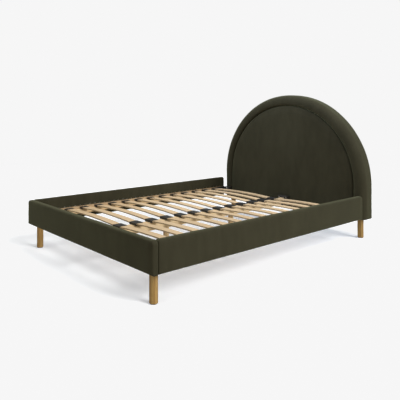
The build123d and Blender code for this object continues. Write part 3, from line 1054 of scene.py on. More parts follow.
@dataclass(frozen=True)
class Felt:
    """Pressed wool felt."""

    name: str = "pressed_felt"
    colour: Colour = (0.12, 0.10, 0.08)

    def make(self) -> Material:
        """Draw the felt's tangled fibres.

        Returns:
            The material.
        """
        graph = Graph(self.name)
        fibre = graph.clouds(graph.stretch((1.0, 1.0, 3.0)), scale=700.0, detail=4.0, warp=2.5)
        return graph.finish(
            base_color=graph.ramp(fibre, (0.3, shade(self.colour, 0.6)), (0.7, shade(self.colour, 1.6))),
            roughness=0.96,
            specular_ior_level=0.1,
            sheen_weight=0.3,
            normal=graph.bump(fibre, depth=0.0008, strength=0.7),
        )


class Finishes:
    """Every finish of the bed, each made once."""

    def __init__(self) -> None:
        """Make the materials."""
        self.velvet = Velvet().make()
        self.lining = Lining().make()
        self.oak = Timber(
            "oak_grain", Along.Z, light=(0.475, 0.308, 0.106), dark=(0.275, 0.150, 0.046),
            roughness=0.46, rings=34.0, pores=0.55, turn=(0.0, 0.0, 0.5)).make()
        self.birch = BentBirch().make()
        pine = {"light": (0.78, 0.61, 0.38), "dark": (0.56, 0.37, 0.18), "roughness": 0.62, "knots": 0.8}
        self.pine_lengthways = Timber("pine_lengthways", Along.Y, **pine).make()
        self.pine_upright = Timber("pine_upright", Along.Z, **pine).make()
        self.pine_across = Timber("pine_across", Along.X, **pine).make()
        # The mounting blocks' pine is near black as painted shade, so the crevice between the side rails'
        # ends and the headboard reads dark.
        self.shade_black_pine = Timber(
            "shade_black_pine", Along.X, light=(0.036, 0.031, 0.025), dark=(0.016, 0.014, 0.012),
            roughness=0.55).make()
        self.plywood = Timber(
            "plywood", Along.X, light=(0.70, 0.54, 0.36), dark=(0.50, 0.34, 0.19),
            roughness=0.66, rings=12.0).make()
        self.chipboard = Chipboard().make()
        self.plastic = Plastic().make()
        self.powder_coat = PowderCoat().make()
        self.zinc = Zinc().make()
        self.felt = Felt().make()


def dress(piece: Piece, material: Material) -> None:
    """Give a piece one material all over.

    Args:
        piece: The piece.
        material: The material.
    """
    if not piece.data.materials:
        piece.data.materials.append(material)
    for holder in piece.material_slots:
        holder.material = material


@dataclass
class Assembly:
    """What every sub-assembly has: its finishes and the body that it moves with."""

    finishes: Finishes
    body: str = BODY

    def place(self, piece: Piece, material: Material, slot: str, nodes: Sequence[str] = ()) -> None:
        """Dress a new piece, fix it to its body and hide the frame's nodes that it replaces.

        Args:
            piece: The finished piece.
            material: Its material.
            slot: The name of a material slot; not used.
            nodes: The frame's nodes that it stands for.
        """
        dress(piece, material)
        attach(piece, self.body)
        if nodes:
            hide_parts(*nodes)
        log.info("%s: %d faces", piece.name, len(piece.data.polygons))

    def dress_nodes(self, names: Iterable[str], material: Material) -> None:
        """Give nodes of the frame a better material.

        Args:
            names: The nodes.
            material: The material.
        """
        for name in names:
            dress(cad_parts[name], material)
            log.info("%s: %s", name, material.name)


@dataclass
class Headboard(Assembly):
    """The half-moon headboard: a padded border round a crowned panel, on a timber frame."""

    # Sizes taken from the frame.
    radius: float = field(init=False)
    centre_z: float = field(init=False)
    bottom: float = field(init=False)
    front: float = field(init=False)
    back: float = field(init=False)
    seam_radius: float = field(init=False)
    board_front: float = field(init=False)
    frame_radius: float = field(init=False)
    back_board_front: float = field(init=False)
    back_board_radius: float = field(init=False)
    board_back: float = field(init=False)

    # The padding's roundings and the seam between border and panel.
    border_round: float = 0.050
    back_round: float = 0.020
    border_seam_round: float = 0.026
    panel_seam_round: float = 0.013
    seam_angle: float = 78.0
    seam_slit: float = 0.0022
    seam_depth: float = 0.030
    panel_inset: float = 0.005
    crown: float = 0.004
    back_wrap: float = 0.040
    clearance: float = 0.0003

    # How many steps each stretch of the sections takes.
    arc_steps: int = 260
    leg_steps: int = 24
    border_roll_steps: int = 12
    panel_roll_steps: int = 8
    side_steps: int = 18
    rear_steps: int = 8
    depth_steps: int = 10
    wrap_steps: int = 4
    crown_steps: int = 44
    rear_face_steps: int = 12
    slit_steps: int = 2
    flat_steps: int = 3

    # The cloth's unevenness and its gathers beside the seam.
    waves: tuple[Wave, ...] = ((0.0007, 0.16, 0.0), (0.00025, 0.045, 3.0))
    gathers: tuple[Wave, ...] = ((0.6, 0.013, 0.0), (1.0, 0.031, 9.0))
    gather_height: float = 0.0009
    gather_reach: float = 0.016
    gather_start: float = 0.002
    hem: float = 0.001
    hidden_depth: float = 0.02
    hidden_radius: float = 0.70
    calm_radius: float = 0.16
    calm_fade: float = 0.12

    # Where the cloth is glued or sewn down.
    seam_spare: float = 0.0003
    glue_depth: float = 0.005
    glue_spare: float = 0.002
    wrap_depth: float = 0.004

    # The mounting blocks' spaces in the foam.
    side_block: float = 0.052
    middle_block: float = 0.1
    block_spare: float = 0.0008
    block_reach: float = 0.05
    block_sink: float = 0.01

    # The back lining and the cloth underneath.
    lining_gap: float = 0.0005
    lining_sink: float = 0.0002
    lining_rings: int = 30
    lining_arc_steps: int = 120
    lining_leg_steps: int = 10
    lining_wave: Pair = (0.0003, 0.09)
    lining_stretch: float = 0.5
    lining_sag: float = 0.0004
    lining_thickness: float = 0.0011
    underside_thickness: float = 0.0016
    underside_gap: float = 0.0003
    underside_margin: float = 0.004
    underside_front: float = 0.018
    underside_corner: float = 0.03
    underside_steps: int = 8
    stud_hole: float = 0.0042
    stud_hole_depth: float = 0.02
    stud_hole_sides: int = 32

    def __post_init__(self) -> None:
        """Take the main sizes from the frame."""
        low, high = extent("headboard_border_cover")
        self.radius, self.back, top = high
        self.front, self.bottom = low[1:]
        self.centre_z = round(top - self.radius, 5)
        self.seam_radius = extent("headboard_panel_cover")[1][0]
        low, high = extent("headboard_face_board")
        self.board_front, self.frame_radius = low[1], high[0]
        low, high = extent("headboard_back_board")
        self.back_board_front = low[1]
        self.back_board_radius, self.board_back = high[:2]

    def build(self) -> None:
        """Make the upholstery and dress the frame."""
        self.build_border()
        self.build_panel()
        self.build_back_lining()
        self.build_underside()
        f = self.finishes
        self.dress_nodes(["headboard_face_board", "headboard_back_board", "headboard_arch_rim"], f.plywood)
        self.dress_nodes(["headboard_posts", "headboard_studs"], f.pine_upright)
        self.dress_nodes(["headboard_bottom_rail", "headboard_cross_rails"], f.pine_across)
        # Near-black pine on the mounting blocks is painted shade for the crevice at the side rails' head
        # ends.
        self.dress_nodes([BLOCKS], f.shade_black_pine)

    def border_profile(self) -> list[Pair]:
        """The border's section, from the seam round to the frame.

        Returns:
            The points in radius and depth.
        """
        lean = math.radians(self.seam_angle)
        bend = self.border_seam_round
        middle = self.seam_radius + self.seam_slit + bend * math.sin(lean)
        roll = arc((middle, self.front + bend), bend, 90 + self.seam_angle, 90, self.border_roll_steps)
        bend = self.border_round
        side = arc((self.radius - bend, self.front + bend), bend, 90, 0, self.side_steps)
        bend = self.back_round
        rear = arc((self.radius - bend, self.back - bend), bend, 0, -90, self.rear_steps)
        wrap = (self.radius - self.back_wrap, self.back)
        inner = self.clearance
        lip = self.board_back + inner
        frame_edge = self.frame_radius + inner
        back_edge = self.back_board_radius + inner
        hidden = [
            (wrap[0], lip),
            (back_edge, lip),
            (back_edge, self.back_board_front + inner),
            (frame_edge, self.back_board_front + inner),
            (frame_edge, self.board_front - inner),
            (self.seam_radius + inner, self.board_front - inner),
        ]
        first = (self.seam_radius + inner, self.front + self.seam_depth)
        points = [first, *run(first, roll[0], self.slit_steps), *roll]
        points += [*run(roll[-1], side[0], self.flat_steps), *side]
        points += [*run(side[-1], rear[0], self.depth_steps), *rear]
        points += [*run(rear[-1], wrap, self.wrap_steps), wrap]
        return [*points, *hidden, *run(hidden[-1], first, self.flat_steps)]

    def panel_profile(self) -> list[Pair]:
        """The panel's section, from the middle out to the seam and back.

        Returns:
            The points in radius and depth.
        """
        lean = math.radians(self.seam_angle)
        edge = self.front + self.panel_inset
        bend = self.panel_seam_round
        width = self.seam_radius - self.seam_slit - bend * math.sin(lean)
        roll = arc((width, edge + bend), bend, 90, 90 - self.seam_angle, self.panel_roll_steps)
        sweep = (width**2 + self.crown**2) / (2 * self.crown)
        crown = []
        for index in range(self.crown_steps):
            out = width * index / self.crown_steps
            crown.append((out, edge - self.crown + sweep - math.sqrt(sweep**2 - out**2)))
        inner = self.clearance
        rim = (self.seam_radius - inner, self.front + self.seam_depth)
        back = (self.seam_radius - inner, self.board_front - inner)
        middle = (0.0, back[1])
        points = [*crown, *roll, *run(roll[-1], rim, self.slit_steps), rim]
        points += [*run(rim, back, self.flat_steps), back]
        return [*points, *run(back, middle, self.rear_face_steps), middle]

    def sweep(self, name: str, profile: Sequence[Pair]) -> Piece:
        """Turn a section half round the arch's centre and run both ends straight down.

        Args:
            name: The piece's name.
            profile: The section in radius and depth.

        Returns:
            The closed piece.
        """
        piece = trace(name, [(radius, depth, self.centre_z) for radius, depth in profile], True)
        self.spin(self.arc_steps)
        outward()
        bpy.ops.mesh.delete_loose(use_verts=True, use_edges=True, use_faces=False)
        sides = (1, -1) if profile[0][0] > 0 else (0,)
        for side in sides:
            pick(piece, "EDGE", lambda e: self.ends_arc(e, side))
            extrude((0, 0, (self.bottom - self.centre_z) / self.leg_steps), self.leg_steps)
            bpy.ops.mesh.edge_face_add()
        outward()
        done()
        return piece

    def spin(self, steps: int) -> None:
        """Turn what is selected half round the arch's centre, in edit mode."""
        bpy.ops.mesh.spin(steps=steps, angle=math.pi, center=(0, 0, self.centre_z), axis=(0, 1, 0))

    def ends_arc(self, edge: bmesh.types.BMEdge, side: int) -> bool:
        """Whether an edge lies on the level where the arch becomes straight, away from its axis.

        Args:
            edge: The edge.
            side: One or minus one for one side of the arch, nought for both.

        Returns:
            True if it does.
        """
        return self.on_level(edge, side) and any(abs(v.co.x) > SAME_PLACE for v in edge.verts)

    def on_level(self, edge: bmesh.types.BMEdge, side: int) -> bool:
        """Whether an edge lies on the arch centre's level, on one side or, for nought, on either."""
        level = all(abs(v.co.z - self.centre_z) < SAME_PLACE for v in edge.verts)
        return level and all(side * v.co.x > -SAME_PLACE for v in edge.verts)

    def reach(self, place: Vector) -> float:
        """How far out a point lies: from the arch's axis, or lower down from the bed's middle."""
        return math.hypot(place.x, max(place.z - self.centre_z, 0.0))

    def seam_pull(self, place: Vector, inside: bool) -> float:
        """How much the cloth gathers beside the seam, from none to one.

        Args:
            place: A point on the cloth.
            inside: Whether it is on the panel's side of the seam.

        Returns:
            The share.
        """
        away = self.reach(place) - self.seam_radius
        away = -away if inside else away
        if away < -self.gather_start or place.y > self.front + self.seam_depth:
            return 0.0
        return math.exp(-max(away, 0.0) / self.gather_reach)

    def along(self, place: Vector) -> float:
        """How far along the arch a point lies, in metres at the seam's radius.

        Args:
            place: The point.

        Returns:
            The distance from the top, positive to the right.
        """
        if place.z < self.centre_z:
            drop = self.centre_z - place.z
            return math.copysign(self.seam_radius * math.pi / 2 + drop, place.x)
        return self.seam_radius * math.atan2(place.x, place.z - self.centre_z)

    def soften(self, piece: Piece, inside: bool, seed: float) -> None:
        """Give taut cloth its unevenness and its small gathers at the seam.

        Args:
            piece: The border or the panel.
            inside: Whether it is the panel.
            seed: Which pattern it takes.
        """

        def push(place: Vector, normal: Vector) -> Vector:
            """One vertex's move.

            Args:
                place: Its place.
                normal: The surface's direction there.

            Returns:
                The move.
            """
            behind = place.y > self.board_front - self.hidden_depth
            if behind and (inside or self.reach(place) < self.hidden_radius):
                return Vector()
            if place.z < self.bottom + self.hem:
                return Vector()
            along = self.along(place)
            gather = sum(
                share * noise.noise(Vector((along / size, seed + shift, 0.0)))
                for share, size, shift in self.gathers)
            lift = self.gather_height * gather * self.seam_pull(place, inside)
            return normal * (uneven(place, self.waves, seed) + lift)

        nudge(piece, push)

    def glued(self, place: Vector, inside: bool) -> bool:
        """Whether a point of the border or the panel lies on the frame or in the seam.

        Args:
            place: The point.
            inside: Whether it is the panel.

        Returns:
            True if it can't move.
        """
        radius = self.reach(place)
        in_seam = abs(radius - self.seam_radius) < self.seam_slit + self.seam_spare
        if place.z < self.bottom + self.hem or in_seam:
            return True
        behind = place.y > self.board_front - self.glue_depth
        if inside:
            return behind
        on_frame = behind and radius < self.frame_radius + self.glue_spare
        return on_frame or place.y > self.back - self.wrap_depth

    def middle_share(self, place: Vector) -> float:
        """How near a point of the panel's front is to the arch's centre, where its rings meet.

        Args:
            place: The point.

        Returns:
            One at the centre, none from the calm radius out and on the back.
        """
        if place.y > self.front + self.seam_depth:
            return 0.0
        away = math.hypot(place.x, place.z - self.centre_z)
        share = min(max((self.calm_radius - away) / self.calm_fade, 0.0), 1.0)
        return share * share * (3 - 2 * share)

    def block_space(self, span: Pair) -> Piece:
        """The space that one mounting block takes up in the foam.

        Args:
            span: The block's left and right sides.

        Returns:
            A block a little larger.
        """
        spare = self.block_spare
        low, high = extent(BLOCKS)
        near, far = self.front - self.block_reach, self.board_front + self.block_sink
        low = (span[0] - spare, near, low[2] - spare)
        high = (span[1] + spare, far, high[2] + spare)
        return slab("block_space", low, high)

    def build_border(self) -> None:
        """The padded border, from the seam over the front and side to the back."""
        piece = self.sweep("headboard_border", self.border_profile())
        swell(piece, lambda place: self.glued(place, False), pressure=10.0, cap=0.0022)
        self.soften(piece, False, seed=2.0)
        far = extent(BLOCKS)[1][0]
        near = far - self.side_block
        carve(piece, [self.block_space((near, far)), self.block_space((-far, -near))])
        smooth(piece, 50)
        self.place(piece, self.finishes.velvet, "velvet", ["headboard_border_cover", "headboard_border_foam"])

    def build_panel(self) -> None:
        """The crowned panel inside the border."""
        piece = self.sweep("headboard_panel", self.panel_profile())
        swell(piece, lambda place: self.glued(place, True), pressure=1.5, cap=0.0035, calm=self.middle_share)
        self.soften(piece, True, seed=5.0)
        carve(piece, [self.block_space((-self.middle_block / 2, self.middle_block / 2))])
        smooth(piece, 50)
        self.place(piece, self.finishes.velvet, "velvet", ["headboard_panel_cover", "headboard_panel_foam"])

    def build_back_lining(self) -> None:
        """The cloth stretched over the back board, inside the border's turned edge."""
        outer = self.radius - self.back_wrap - self.lining_gap
        face = self.back - self.lining_sink
        points = [(0.0, face), *run((0.0, face), (outer, face), self.lining_rings), (outer, face)]
        piece = trace("headboard_back_lining", [(r, y, self.centre_z) for r, y in points], False)
        self.spin(self.lining_arc_steps)
        drop = self.bottom + self.hem - self.centre_z
        for side in (1, -1):
            pick(piece, "EDGE", lambda e: self.on_level(e, side))
            extrude((0, 0, drop / self.lining_leg_steps), self.lining_leg_steps)
        outward()
        done()
        height, size = self.lining_wave

        def push(place: Vector, normal: Vector) -> Vector:
            """One vertex's move, in soft upright waves."""
            wave = ripple(Vector((place.x, 0, place.z * self.lining_stretch)), size, seed=4.0)
            return Vector((0, height * wave - self.lining_sag, 0))

        nudge(piece, push)
        only(piece)
        if piece.data.polygons[0].normal.y < 0:
            edit(piece)
            bpy.ops.mesh.select_all(action="SELECT")
            bpy.ops.mesh.flip_normals()
            done()
        wall = piece.modifiers.new("thickness", "SOLIDIFY")
        wall.thickness = self.lining_thickness
        wall.offset = -1.0
        bpy.ops.object.modifier_apply(modifier=wall.name)
        smooth(piece)
        height = outer + self.centre_z - self.bottom - self.hem
        self.place(piece, self.finishes.lining, "back_lining", ["headboard_back_cover"])

    def build_underside(self) -> None:
        """The cloth across the underside, with round holes for the legs' studs."""
        top = self.bottom - self.underside_gap
        reach = self.radius - self.underside_margin
        near, far = self.front + self.underside_front, self.back - self.underside_margin
        low = (-reach, near, top - self.underside_thickness)
        piece = slab("headboard_underside", low, (reach, far, top))

        def upright(edge: bmesh.types.BMEdge) -> bool:
            """Whether an edge runs up through the cloth."""
            return abs(edge.verts[0].co.z - edge.verts[1].co.z) > SAME_PLACE

        bevel_edges(piece, upright, self.underside_corner, self.underside_steps)
        studs = [(*leg_place(leg)[:2], low[2]) for leg in HEAD_LEGS]
        sides, depth = self.stud_hole_sides, self.stud_hole_depth
        carve(piece, [prism("stud_hole", sides, self.stud_hole, depth, place) for place in studs])
        smooth(piece)
        self.place(piece, self.finishes.lining, "velvet", ["headboard_bottom_cover"])


class Facing(Enum):
    """Which way a padded panel's outer face looks, as its turn from the foot in degrees."""

    FOOT = 0.0
    RIGHT = 90.0
    LEFT = -90.0


@dataclass
class PaddedPanel(Assembly):
    """A board wrapped in thin foam and velvet, open on a band of its inner side."""

    name: str = "footboard"
    facing: Facing = Facing.FOOT
    long_cuts: int = 90
    window_reach: float = 2.0
    fold_side: int = 0
    end_gap: float = 0.0
    seed: float = 1.0

    # Sizes and place taken from the frame.
    length: float = field(init=False)
    thickness: float = field(init=False)
    low: float = field(init=False)
    high: float = field(init=False)
    middle: Point = field(init=False)

    # The padding's roundings, and what covers the board on each side.
    corner_round: float = 0.020
    edge_round: float = 0.010
    inner_round: float = 0.004
    band: Pair = (0.190, 0.244)
    cover: float = 0.002
    face_foam: float = 0.008
    top_foam: float = 0.004
    end_foam: float = 0.004
    clearance: float = 0.0002
    window_bite: float = 0.0005

    # The form's edges, and the folds and unevenness of its cloth.
    corner_steps: int = 7
    edge_steps: int = 5
    inner_steps: int = 3
    high_cuts: int = 8
    cut_margin: float = 0.017
    top_margin: float = 0.0068
    fold_inset: float = 0.024
    fold_cuts: tuple[float, ...] = (-0.003, 0.0, 0.003)
    fold_depth: float = 0.0011
    fold_reach: float = 0.0015
    hard_edge: float = 0.004
    inner_hem: float = 0.012
    waves: tuple[Wave, ...] = ((0.0005, 0.13, 0.0), (0.0002, 0.04, 4.0))

    def __post_init__(self) -> None:
        """Take the panel's size and place from the frame."""
        low, high = extent(f"{self.name}_cover")
        width, depth = (round(high[axis] - low[axis], 5) for axis in (0, 1))
        self.length, self.thickness = max(width, depth), min(width, depth)
        self.low, self.high = low[2], high[2]
        if self.facing is Facing.FOOT:
            self.middle = (0.0, low[1], 0.0)
        else:
            outer = high[0] if self.facing is Facing.RIGHT else low[0]
            self.middle = (outer, round((low[1] + high[1]) / 2, 5), 0.0)

    def build(self) -> None:
        """Make the upholstery and dress the board."""
        piece = self.body_form()
        swell(piece, self.glued, pressure=1.0, cap=0.0016)
        self.press(piece)
        carve(piece, [self.board_space()])
        piece.rotation_euler = (0, 0, math.radians(self.facing.value))
        piece.location = self.middle
        settle(piece)
        smooth(piece, 50)
        self.place(piece, self.finishes.velvet, "velvet", [f"{self.name}_cover", f"{self.name}_foam"])
        self.dress_nodes([f"{self.name}_core"], self.finishes.chipboard)

    def body_form(self) -> Piece:
        """The rounded outside, drawn along X with its outer face towards the front.

        Returns:
            The closed form.
        """
        half = self.length / 2
        bend = self.corner_round
        right = arc((half - bend, 0.0), bend, 0, 90, self.corner_steps)
        upper = [(x, self.high - bend - depth) for x, depth in right]
        points = [(-half, self.low), (half, self.low), *upper, *[(-x, z) for x, z in reversed(upper)]]
        piece = trace(f"{self.name}_upholstery", [(x, 0.0, z) for x, z in points], True)
        bpy.ops.mesh.edge_face_add()
        extrude((0, self.thickness, 0))
        outward()
        done()
        bevel_edges(piece, lambda e: self.on_outline(e, 0.0), self.edge_round, self.edge_steps)
        bevel_edges(piece, lambda e: self.on_outline(e, self.thickness), self.inner_round, self.inner_steps)
        edit(piece)
        reach = half - bend - self.cut_margin
        for index in range(self.long_cuts + 1):
            self.cut((reach * (2 * index / self.long_cuts - 1), 0, 0), (1, 0, 0))
        first, last = self.low + self.cut_margin, self.high - bend - self.top_margin
        for index in range(self.high_cuts + 1):
            self.cut((0, 0, first + (last - first) * index / self.high_cuts), (0, 0, 1))
        for step in self.fold_cuts if self.fold_side else ():
            self.cut((self.fold_side * (half - self.fold_inset) + step, 0, 0), (1, 0, 0))
        outward()
        done()
        return piece

    def cut(self, place: Point, across: Point) -> None:
        """Cut an edge all round the form in edit mode, at a place and square to a direction."""
        bpy.ops.mesh.select_all(action="SELECT")
        bpy.ops.mesh.bisect(plane_co=place, plane_no=across)

    def glued(self, place: Vector) -> bool:
        """Whether a point lies where the cloth is stapled or pulled hard round an edge."""
        near_end = abs(place.x) > self.length / 2 - self.hard_edge
        return place.y > self.thickness - self.inner_hem or place.z < self.low + self.hard_edge or near_end

    def on_outline(self, edge: bmesh.types.BMEdge, depth: float) -> bool:
        """Whether an edge lies on the outline of the outer or the inner face.

        Args:
            edge: The edge.
            depth: The face's depth.

        Returns:
            True if it does.
        """
        if any(abs(v.co.y - depth) > SAME_PLACE for v in edge.verts):
            return False
        return any(abs(face.normal.y) < 0.5 for face in edge.link_faces)

    def press(self, piece: Piece) -> None:
        """Give taut velvet its unevenness, its fold near one end and its gap at the other.

        Args:
            piece: The outside form.
        """
        half = self.length / 2
        fold = self.fold_side * (half - self.fold_inset)

        def push(place: Vector, normal: Vector) -> Vector:
            """One vertex's move.

            Args:
                place: Its place.
                normal: The surface's direction there.

            Returns:
                The move.
            """
            lift = uneven(place, self.waves, self.seed)
            if self.fold_side and normal.y < -0.5 and abs(fold - place.x) < self.fold_reach:
                lift -= self.fold_depth
            if -self.fold_side * place.x > half - self.hard_edge:
                return normal * lift + Vector((self.fold_side * self.end_gap, 0.0, 0.0))
            return normal * lift

        nudge(piece, push)

    def board_space(self) -> Piece:
        """The board's space with the bare band's window, to be cut out.

        Returns:
            Both in one object.
        """
        reach = self.length / 2 - self.cover - self.end_foam + self.clearance
        low = self.low + self.cover - self.clearance
        high = self.high - self.cover - self.top_foam + self.clearance
        near = self.cover + self.face_foam - self.clearance
        far = self.thickness - self.cover + self.clearance
        board = slab("board_space", (-reach, near, low), (reach, far, high))
        reach, near, far = self.window_reach, far - self.window_bite, self.thickness + 0.01
        combine(board, slab("window", (-reach, near, self.band[0]), (reach, far, self.band[1])), "UNION")
        return board


@dataclass
class SlatBase(Assembly):
    """Two rows of sprung slats in plastic holders on the ledgers and the centre rail."""

    rows: int = 14

    def build(self) -> None:
        """Dress the slats and what carries them."""
        f = self.finishes
        self.dress_nodes([f"slat_pair_{row:02d}" for row in range(1, self.rows + 1)], f.birch)
        self.dress_nodes(["outer_slat_holders", "centre_slat_holders"], f.plastic)
        self.dress_nodes(["slat_ledgers", "centre_rail"], f.pine_lengthways)
        self.dress_nodes(["centre_rail_hangers"], f.powder_coat)


@dataclass
class Legs(Assembly):
    """Four oak corner legs on felt pads, and two centre legs with screw feet."""

    pad_radius: float = 0.019
    pad_height: float = 0.003
    pad_sides: int = 64
    rim_round: float = 0.0007
    press_in: float = 0.0002
    wave: Pair = (0.0003, 0.003)

    def build(self) -> None:
        """Dress the legs and make the felt pads."""
        f = self.finishes
        self.dress_nodes(FOOT_LEGS + HEAD_LEGS, f.oak)
        self.dress_nodes(["centre_legs"], f.pine_upright)
        self.dress_nodes(["leg_studs", "centre_leg_sleeves"], f.zinc)
        self.dress_nodes(["screw_foot_1_disc", "screw_foot_2_disc"], f.plastic)
        self.build_pads()

    def on_rim(self, edge: bmesh.types.BMEdge) -> bool:
        """Whether an edge of the pad runs round its upper or lower rim."""
        outside = all(math.hypot(v.co.x, v.co.y) > self.pad_radius - 1e-4 for v in edge.verts)
        return outside and abs(edge.verts[0].co.z - edge.verts[1].co.z) < SAME_PLACE

    def build_pads(self) -> None:
        """The felt pads, with soft edges."""
        pad = prism("felt_pad", self.pad_sides, self.pad_radius, self.pad_height, (0, 0, self.pad_height / 2))
        bevel_edges(pad, self.on_rim, self.rim_round, 3)
        piece = copy_to("felt_pads_soft", pad, [(leg_place(leg), ORIGIN) for leg in FOOT_LEGS + HEAD_LEGS])
        height, size = self.wave

        def push(place: Vector, normal: Vector) -> Vector:
            """One vertex's move, level with the floor."""
            return Vector((normal.x, normal.y, 0)) * (height * ripple(place, size, seed=6.0) - self.press_in)

        nudge(piece, push)
        smooth(piece)
        self.place(piece, self.finishes.felt, "felt", ["felt_pads"])


@dataclass
class ScrewFoot(Assembly):
    """The threaded stud of one levelling foot under the centre rail."""

    number: int = 1
    radius: float = 0.00496
    root: float = 0.00415
    pitch: float = 0.0015
    flank_start: float = 0.12
    crest_start: float = 0.44
    cut_off: float = 1.325
    spare_turns: int = 3
    sides: int = 20

    def build(self) -> None:
        """Model the thread and cut its ends flat, where no vertex lies on the cut."""
        low, high = extent(f"screw_foot_{self.number}_stud")
        row = round((low[1] + high[1]) / 2, 5)
        bottom, top = low[2], high[2]
        flank, crest = self.flank_start, self.crest_start
        shares = ((self.root, 0.0), (self.root, flank), (self.radius, crest),
                  (self.radius, 1 - crest), (self.root, 1 - flank), (self.root, 1.0))
        ridge = [(radius, 0.0, share * self.pitch) for radius, share in shares]
        piece = trace(f"screw_foot_{self.number}_thread", ridge, False)
        done()
        winding = piece.modifiers.new("winding", "SCREW")
        winding.screw_offset = self.pitch
        winding.iterations = round((top - bottom) / self.pitch) + self.spare_turns
        winding.steps = winding.render_steps = self.sides
        bpy.ops.object.modifier_apply(modifier=winding.name)
        edit(piece)
        outward()
        bpy.ops.transform.translate(value=(0, 0, bottom - self.cut_off * self.pitch))
        for height, way in ((bottom, -1), (top, 1)):
            bpy.ops.mesh.select_all(action="SELECT")
            across = (0, 0, way)
            bpy.ops.mesh.bisect(plane_co=(0, 0, height), plane_no=across, use_fill=True, clear_outer=True)
        bpy.ops.mesh.select_all(action="SELECT")
        bpy.ops.transform.translate(value=(0, row, 0))
        bpy.ops.mesh.normals_make_consistent(inside=False)
        done()
        smooth(piece, 35)
        self.place(piece, self.finishes.zinc, "zinc_steel", [f"screw_foot_{self.number}_stud"])


@dataclass
class Hardware(Assembly):
    """The corner brackets with their bolts, the wood screws and the staples."""

    # Bolts through the brackets' plates and through the mounting blocks.
    bolt_radius: float = 0.00395
    bolt_tip: float = 0.0008
    head_radius: float = 0.007
    head_height: float = 0.005
    head_flat: float = 0.55
    head_rim: float = 0.001
    head_steps: int = 6
    bolt_sides: int = 36
    socket_radius: float = 0.0029
    socket_depth: float = 0.0028
    plate_bolt: float = 0.019
    block_bolt: float = 0.099
    plate: float = 0.003
    bolt_height: float = 0.2175
    bolt_steps: Pair = (0.033, 0.066)
    block_bolt_x: float = 0.648
    screw_pair_heights: Pair = (0.204, 0.228)

    # Wood screws of the ledgers and of the centre rail's hangers.
    screw_radius: float = 0.00215
    screw_head: float = 0.00445
    screw_head_depth: float = 0.0028
    screw_head_rim: float = 0.0004
    screw_point: float = 0.005
    screw_sides: int = 24
    cross_reach: float = 0.0026
    cross_width: float = 0.0005
    cross_depth: float = 0.0016
    ledger_width: float = 0.022
    ledger_screw_height: float = 0.207
    ledger_screw_count: int = 9
    ledger_screw: float = 0.040
    screw_spin: float = 0.7
    hanger_plate: float = 0.002
    hanger_screw: float = 0.020
    hanger_screw_x: float = 0.0345

    # Staples along the panels' hems and round the back lining.
    staple_crown: float = 0.010
    staple_width: float = 0.0012
    staple_proud: float = 0.0006
    staple_sunk: float = 0.0008
    staple_round: float = 0.0005
    staple_edge: float = 0.00015
    staple_gap: float = 0.042

    # How far the staples lean, and how the lean goes on from one to the next.
    staple_lean: float = 0.16
    lean_step: float = 12.9
    lean_rise: float = 90.0
    arch_lean: float = 0.1
    arch_lean_step: float = 7.3
    hem_heights: Pair = (0.1835, 0.2505)
    hem_foot_reach: float = 0.66
    hem_side_span: Pair = (-0.99, 0.86)
    lining_reach: float = 0.659
    lining_bottom: float = 0.156
    lining_sink: float = 0.0006
    lining_corner: float = 0.02
    lining_shoulder: float = 0.03

    def build(self) -> None:
        """Dress the plates and make the fasteners."""
        f = self.finishes
        self.dress_nodes(["foot_corner_brackets", "head_corner_brackets"], f.powder_coat)
        self.dress_nodes(["threaded_inserts"], f.zinc)
        self.build_bolts()
        self.build_screws()
        self.build_staples()

    def bolt(self, name: str, length: float) -> Piece:
        """A round-headed bolt with a six-sided socket, its shank pointing down from the origin.

        Args:
            name: The bolt's name.
            length: The shank's length.

        Returns:
            The bolt.
        """
        flat = self.head_radius * self.head_flat
        rise = self.head_height - self.head_rim
        dome = []
        for index in range(self.head_steps + 1):
            turn = QUARTER * index / self.head_steps
            radius = flat + (self.head_radius - flat) * math.cos(turn)
            dome.append((radius, self.head_rim + rise * math.sin(turn)))
        profile = [
            (0.0, -length),
            (self.bolt_radius - self.bolt_tip, -length),
            (self.bolt_radius, self.bolt_tip - length),
            (self.bolt_radius, 0.0),
            (self.head_radius, 0.0),
            *dome,
            (0.0, self.head_height),
        ]
        piece = turned(name, profile, self.bolt_sides)
        depth = 2 * self.socket_depth
        carve(piece, [prism("socket", 6, self.socket_radius, depth, (0, 0, self.head_height))])
        smooth(piece, 35)
        return piece

    def build_bolts(self) -> None:
        """The bolts through the corner brackets."""
        low, high = extent("foot_corner_brackets")
        corner, foot = high[0], low[1]
        head = extent("head_corner_brackets")[1][1]
        height = self.bolt_height
        short, long = [], []
        for side in (1, -1):
            for step in self.bolt_steps:
                for row in (foot + step, head - step):
                    short.append(((side * (corner - self.plate), row, height), (0.0, -side * QUARTER, 0.0)))
                short.append(((side * (corner - step), foot + self.plate, height), (-QUARTER, 0.0, 0.0)))
            for height_up in self.screw_pair_heights:
                long.append(((side * self.block_bolt_x, head - self.plate, height_up), (QUARTER, 0.0, 0.0)))
        plates = copy_to("plate_bolts", self.bolt("plate_bolt", self.plate_bolt), short)
        blocks = copy_to("block_bolts", self.bolt("block_bolt", self.block_bolt), long)
        piece = join("bracket_bolts", [plates, blocks])
        smooth(piece, 35)
        self.place(piece, self.finishes.zinc, "zinc_steel", ["frame_bolts"])

    def screw(self, name: str, length: float) -> Piece:
        """A flat-headed wood screw with a cross recess, pointing down from the origin.

        Args:
            name: The screw's name.
            length: The whole length.

        Returns:
            The screw.
        """
        profile = [
            (0.0, -length),
            (self.screw_head_rim, -length),
            (self.screw_radius, self.screw_point - length),
            (self.screw_radius, -self.screw_head_depth),
            (self.screw_head, -self.screw_head_rim),
            (self.screw_head, 0.0),
            (0.0, 0.0),
        ]
        piece = turned(name, profile, self.screw_sides)
        long, thin, deep = self.cross_reach, self.cross_width, self.cross_depth
        arms = ((long, thin), (thin, long))
        carve(piece, [slab("slot", (-x, -y, -deep), (x, y, deep)) for x, y in arms])
        return piece

